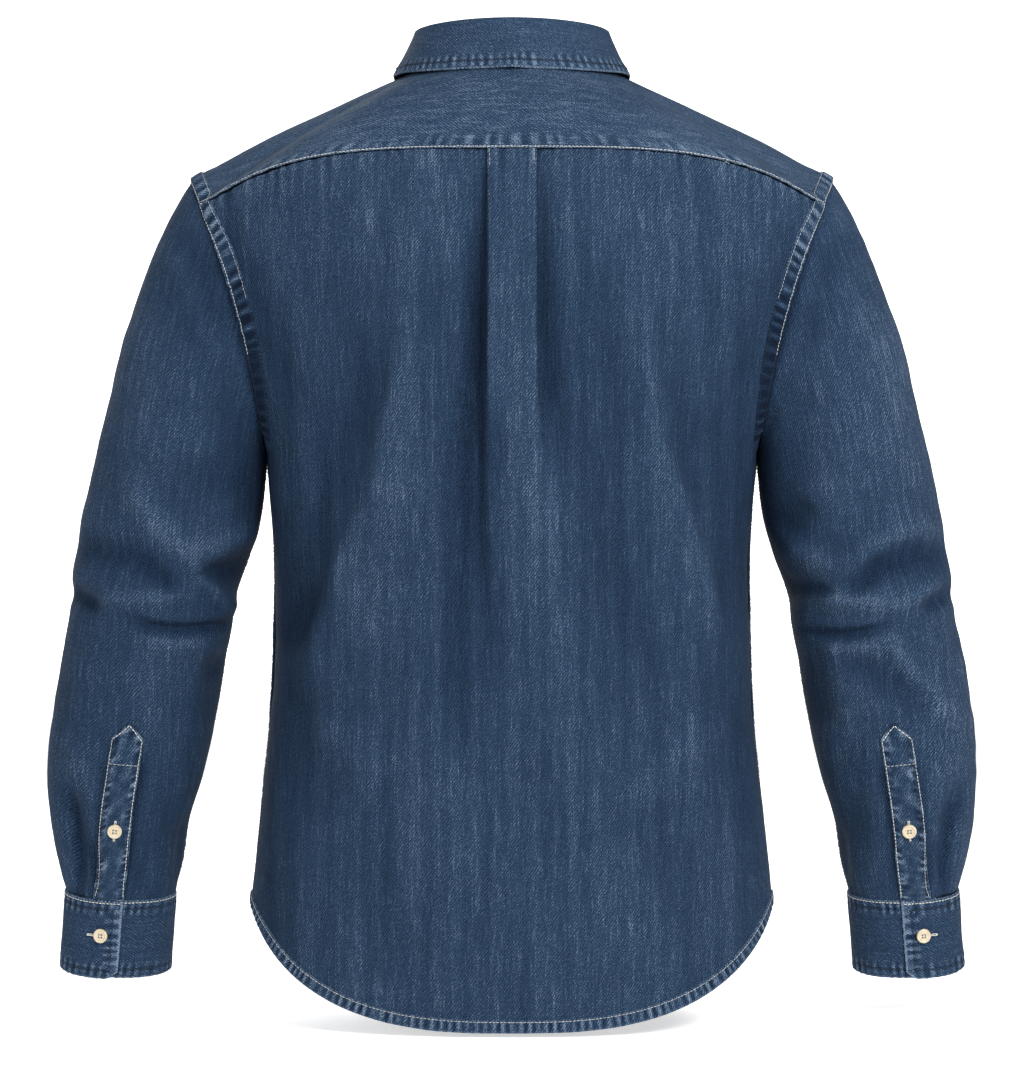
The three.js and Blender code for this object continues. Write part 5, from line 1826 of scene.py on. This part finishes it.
# ------------------------------------------------------------------ the add-on
class ShirtCloth(bpy.types.PropertyGroup):
    deep: bpy.props.FloatVectorProperty(
        name="Deep", description="Unfaded indigo", subtype="COLOR", size=3, min=0, max=1,
        default=(0.0022, 0.0065, 0.017))
    mid: bpy.props.FloatVectorProperty(
        name="Mid", description="The cloth's washed blue", subtype="COLOR", size=3, min=0, max=1,
        default=(0.0148, 0.0325, 0.0645))
    pale: bpy.props.FloatVectorProperty(
        name="Pale", description="Worn yarns", subtype="COLOR", size=3, min=0, max=1,
        default=(0.135, 0.181, 0.242))
    twill_pitch: bpy.props.FloatProperty(
        name="Twill pitch", description="Distance between twill ridges", unit="LENGTH",
        default=0.0018, min=0.0004, max=0.01)
    twill: bpy.props.FloatProperty(
        name="Twill", description="How much the twill ridges show", subtype="FACTOR", default=0.2,
        min=0, max=1)
    grain: bpy.props.FloatProperty(
        name="Grain", description="How uneven the yarns are", subtype="FACTOR", default=0.19,
        min=0, max=1)
    slubs: bpy.props.FloatProperty(
        name="Slubs", description="How much the pale slubs show", subtype="FACTOR", default=0.15,
        min=0, max=1)
    mottle: bpy.props.FloatProperty(
        name="Mottle", description="How cloudy the wash is", subtype="FACTOR", default=0.035,
        min=0, max=1)
    # this scales each piece's paler and darker marks, which hold painted light and shade as well as the
    # denim's own paling
    fading_and_shade: bpy.props.FloatProperty(
        name="Fading", description="How much worn ridges fade", subtype="FACTOR", default=0.5,
        min=0, max=1)


class ShirtTrim(bpy.types.PropertyGroup):
    cream: bpy.props.FloatVectorProperty(
        name="Cream", description="Topstitching thread", subtype="COLOR", size=3, min=0, max=1,
        default=(0.60, 0.58, 0.52))
    dark: bpy.props.FloatVectorProperty(
        name="Dark", description="Inner rows' thread", subtype="COLOR", size=3, min=0, max=1,
        default=(0.004, 0.005, 0.009))
    shell: bpy.props.FloatVectorProperty(
        name="Shell", description="Buttons", subtype="COLOR", size=3, min=0, max=1,
        default=(0.50, 0.43, 0.31))
    shell_shade: bpy.props.FloatVectorProperty(
        name="Shell shade", description="Clouding of the buttons", subtype="COLOR", size=3, min=0,
        max=1, default=(0.42, 0.35, 0.24))


class ShirtStage(bpy.types.PropertyGroup):
    distance: bpy.props.FloatProperty(
        name="Distance", description="From the shirt's middle to the camera", unit="LENGTH",
        default=3.2, min=0.5, max=20)
    height: bpy.props.FloatProperty(
        name="Height", description="The camera's height", unit="LENGTH", default=-0.36)
    lens: bpy.props.FloatProperty(
        name="Lens", description="Focal length in millimetres", default=135.6, min=10, max=400)
    drop: bpy.props.FloatProperty(
        name="Drop", description="From the lowest cloth to the floor", unit="LENGTH", default=0.004)
    ambient: bpy.props.FloatProperty(name="Ambient", description="Light from all around", default=0.1)
    key: bpy.props.FloatProperty(name="Key", description="Main light", unit="POWER", default=105)
    fill: bpy.props.FloatProperty(name="Fill", description="Weaker light", unit="POWER", default=20)
    top: bpy.props.FloatProperty(name="Top", description="Light from above", unit="POWER", default=30)
    front: bpy.props.FloatProperty(
        name="Front", description="Light on the side that buttons", unit="POWER", default=50)


class SHIRT_OT_stage(bpy.types.Operator):
    """Set up the camera, the floor and the lights"""

    bl_idname = "shirt.stage"
    bl_label = "Stage"
    bl_options = {"REGISTER", "UNDO"}

    def execute(self, context):
        make_stage(context.scene.shirt_stage)
        return {"FINISHED"}


class SHIRT_OT_materials(bpy.types.Operator):
    """Mix the denim, the threads and the buttons' shell"""

    bl_idname = "shirt.materials"
    bl_label = "Materials"
    bl_options = {"REGISTER", "UNDO"}

    def execute(self, context):
        cloth, trim = context.scene.shirt_cloth, context.scene.shirt_trim
        make_denim("washed_denim", cloth, cloth.slubs, -0.043)
        make_denim("washed_bands", cloth, cloth.slubs * 0.6, 0.0)
        make_thread_material("stitching_cream", tuple(trim.cream), tuple(0.7 * c for c in trim.cream))
        make_thread_material("stitching_dark", tuple(trim.dark), tuple(0.6 * c for c in trim.dark))
        make_button_material(trim)
        return {"FINISHED"}


class SHIRT_OT_back(bpy.types.Operator):
    """Make the back with its box pleat"""

    bl_idname = "shirt.back"
    bl_label = "Back"
    bl_options = {"REGISTER", "UNDO"}

    def execute(self, context):
        make_back()
        return {"FINISHED"}


class SHIRT_OT_yoke(bpy.types.Operator):
    """Make the yoke"""

    bl_idname = "shirt.yoke"
    bl_label = "Yoke"
    bl_options = {"REGISTER", "UNDO"}

    def execute(self, context):
        make_yoke()
        return {"FINISHED"}


class SHIRT_OT_fronts(bpy.types.Operator):
    """Make both fronts and their band"""

    bl_idname = "shirt.fronts"
    bl_label = "Fronts"
    bl_options = {"REGISTER", "UNDO"}

    def execute(self, context):
        make_fronts()
        make_front_band()
        return {"FINISHED"}


class SHIRT_OT_collar(bpy.types.Operator):
    """Make the collar's stand and leaf"""

    bl_idname = "shirt.collar"
    bl_label = "Collar"
    bl_options = {"REGISTER", "UNDO"}

    def execute(self, context):
        make_collar_stand()
        make_collar_leaf()
        return {"FINISHED"}


class SHIRT_OT_sleeves(bpy.types.Operator):
    """Make both sleeves"""

    bl_idname = "shirt.sleeves"
    bl_label = "Sleeves"
    bl_options = {"REGISTER", "UNDO"}

    def execute(self, context):
        make_sleeves()
        return {"FINISHED"}


class SHIRT_OT_cuffs(bpy.types.Operator):
    """Make the cuffs and the bands on the sleeves' slits"""

    bl_idname = "shirt.cuffs"
    bl_label = "Cuffs"
    bl_options = {"REGISTER", "UNDO"}

    def execute(self, context):
        make_cuffs()
        return {"FINISHED"}


class SHIRT_OT_seams(bpy.types.Operator):
    """Sew the hems and felled seams, with their stitches"""

    bl_idname = "shirt.seams"
    bl_label = "Seams and stitches"
    bl_options = {"REGISTER", "UNDO"}

    def execute(self, context):
        make_stitching(make_seams())
        return {"FINISHED"}


class SHIRT_OT_buttons(bpy.types.Operator):
    """Make the buttons and buttonholes"""

    bl_idname = "shirt.buttons"
    bl_label = "Buttons"
    bl_options = {"REGISTER", "UNDO"}

    def execute(self, context):
        make_buttons()
        return {"FINISHED"}


MAKERS = (
    SHIRT_OT_stage, SHIRT_OT_materials, SHIRT_OT_back, SHIRT_OT_yoke, SHIRT_OT_fronts,
    SHIRT_OT_collar, SHIRT_OT_sleeves, SHIRT_OT_cuffs, SHIRT_OT_seams, SHIRT_OT_buttons,
)


class SHIRT_PT_panel(bpy.types.Panel):
    """Makes the shirt, piece by piece, from the top down"""

    bl_idname = "SHIRT_PT_panel"
    bl_label = "Denim shirt"
    bl_space_type = "VIEW_3D"
    bl_region_type = "UI"
    bl_category = "Shirt"

    def draw(self, context):
        for group in ("shirt_stage", "shirt_cloth", "shirt_trim"):
            settings = getattr(context.scene, group)
            box = self.layout.box()
            for key in settings.bl_rna.properties.keys():
                if key not in ("rna_type", "name"):
                    box.prop(settings, key)
        for maker in MAKERS:
            self.layout.operator(maker.bl_idname)


GROUPS = (("shirt_cloth", ShirtCloth), ("shirt_trim", ShirtTrim), ("shirt_stage", ShirtStage))


def register():
    for name, group in GROUPS:
        bpy.utils.register_class(group)
        setattr(bpy.types.Scene, name, bpy.props.PointerProperty(type=group))
    for cls in (*MAKERS, SHIRT_PT_panel):
        bpy.utils.register_class(cls)


def unregister():
    for cls in (SHIRT_PT_panel, *reversed(MAKERS)):
        bpy.utils.unregister_class(cls)
    for name, group in reversed(GROUPS):
        delattr(bpy.types.Scene, name)
        bpy.utils.unregister_class(group)


def main():
    register()
    for maker in MAKERS:
        space, name = maker.bl_idname.split(".")
        getattr(getattr(bpy.ops, space), name)()


if __name__ == "__main__":
    main()
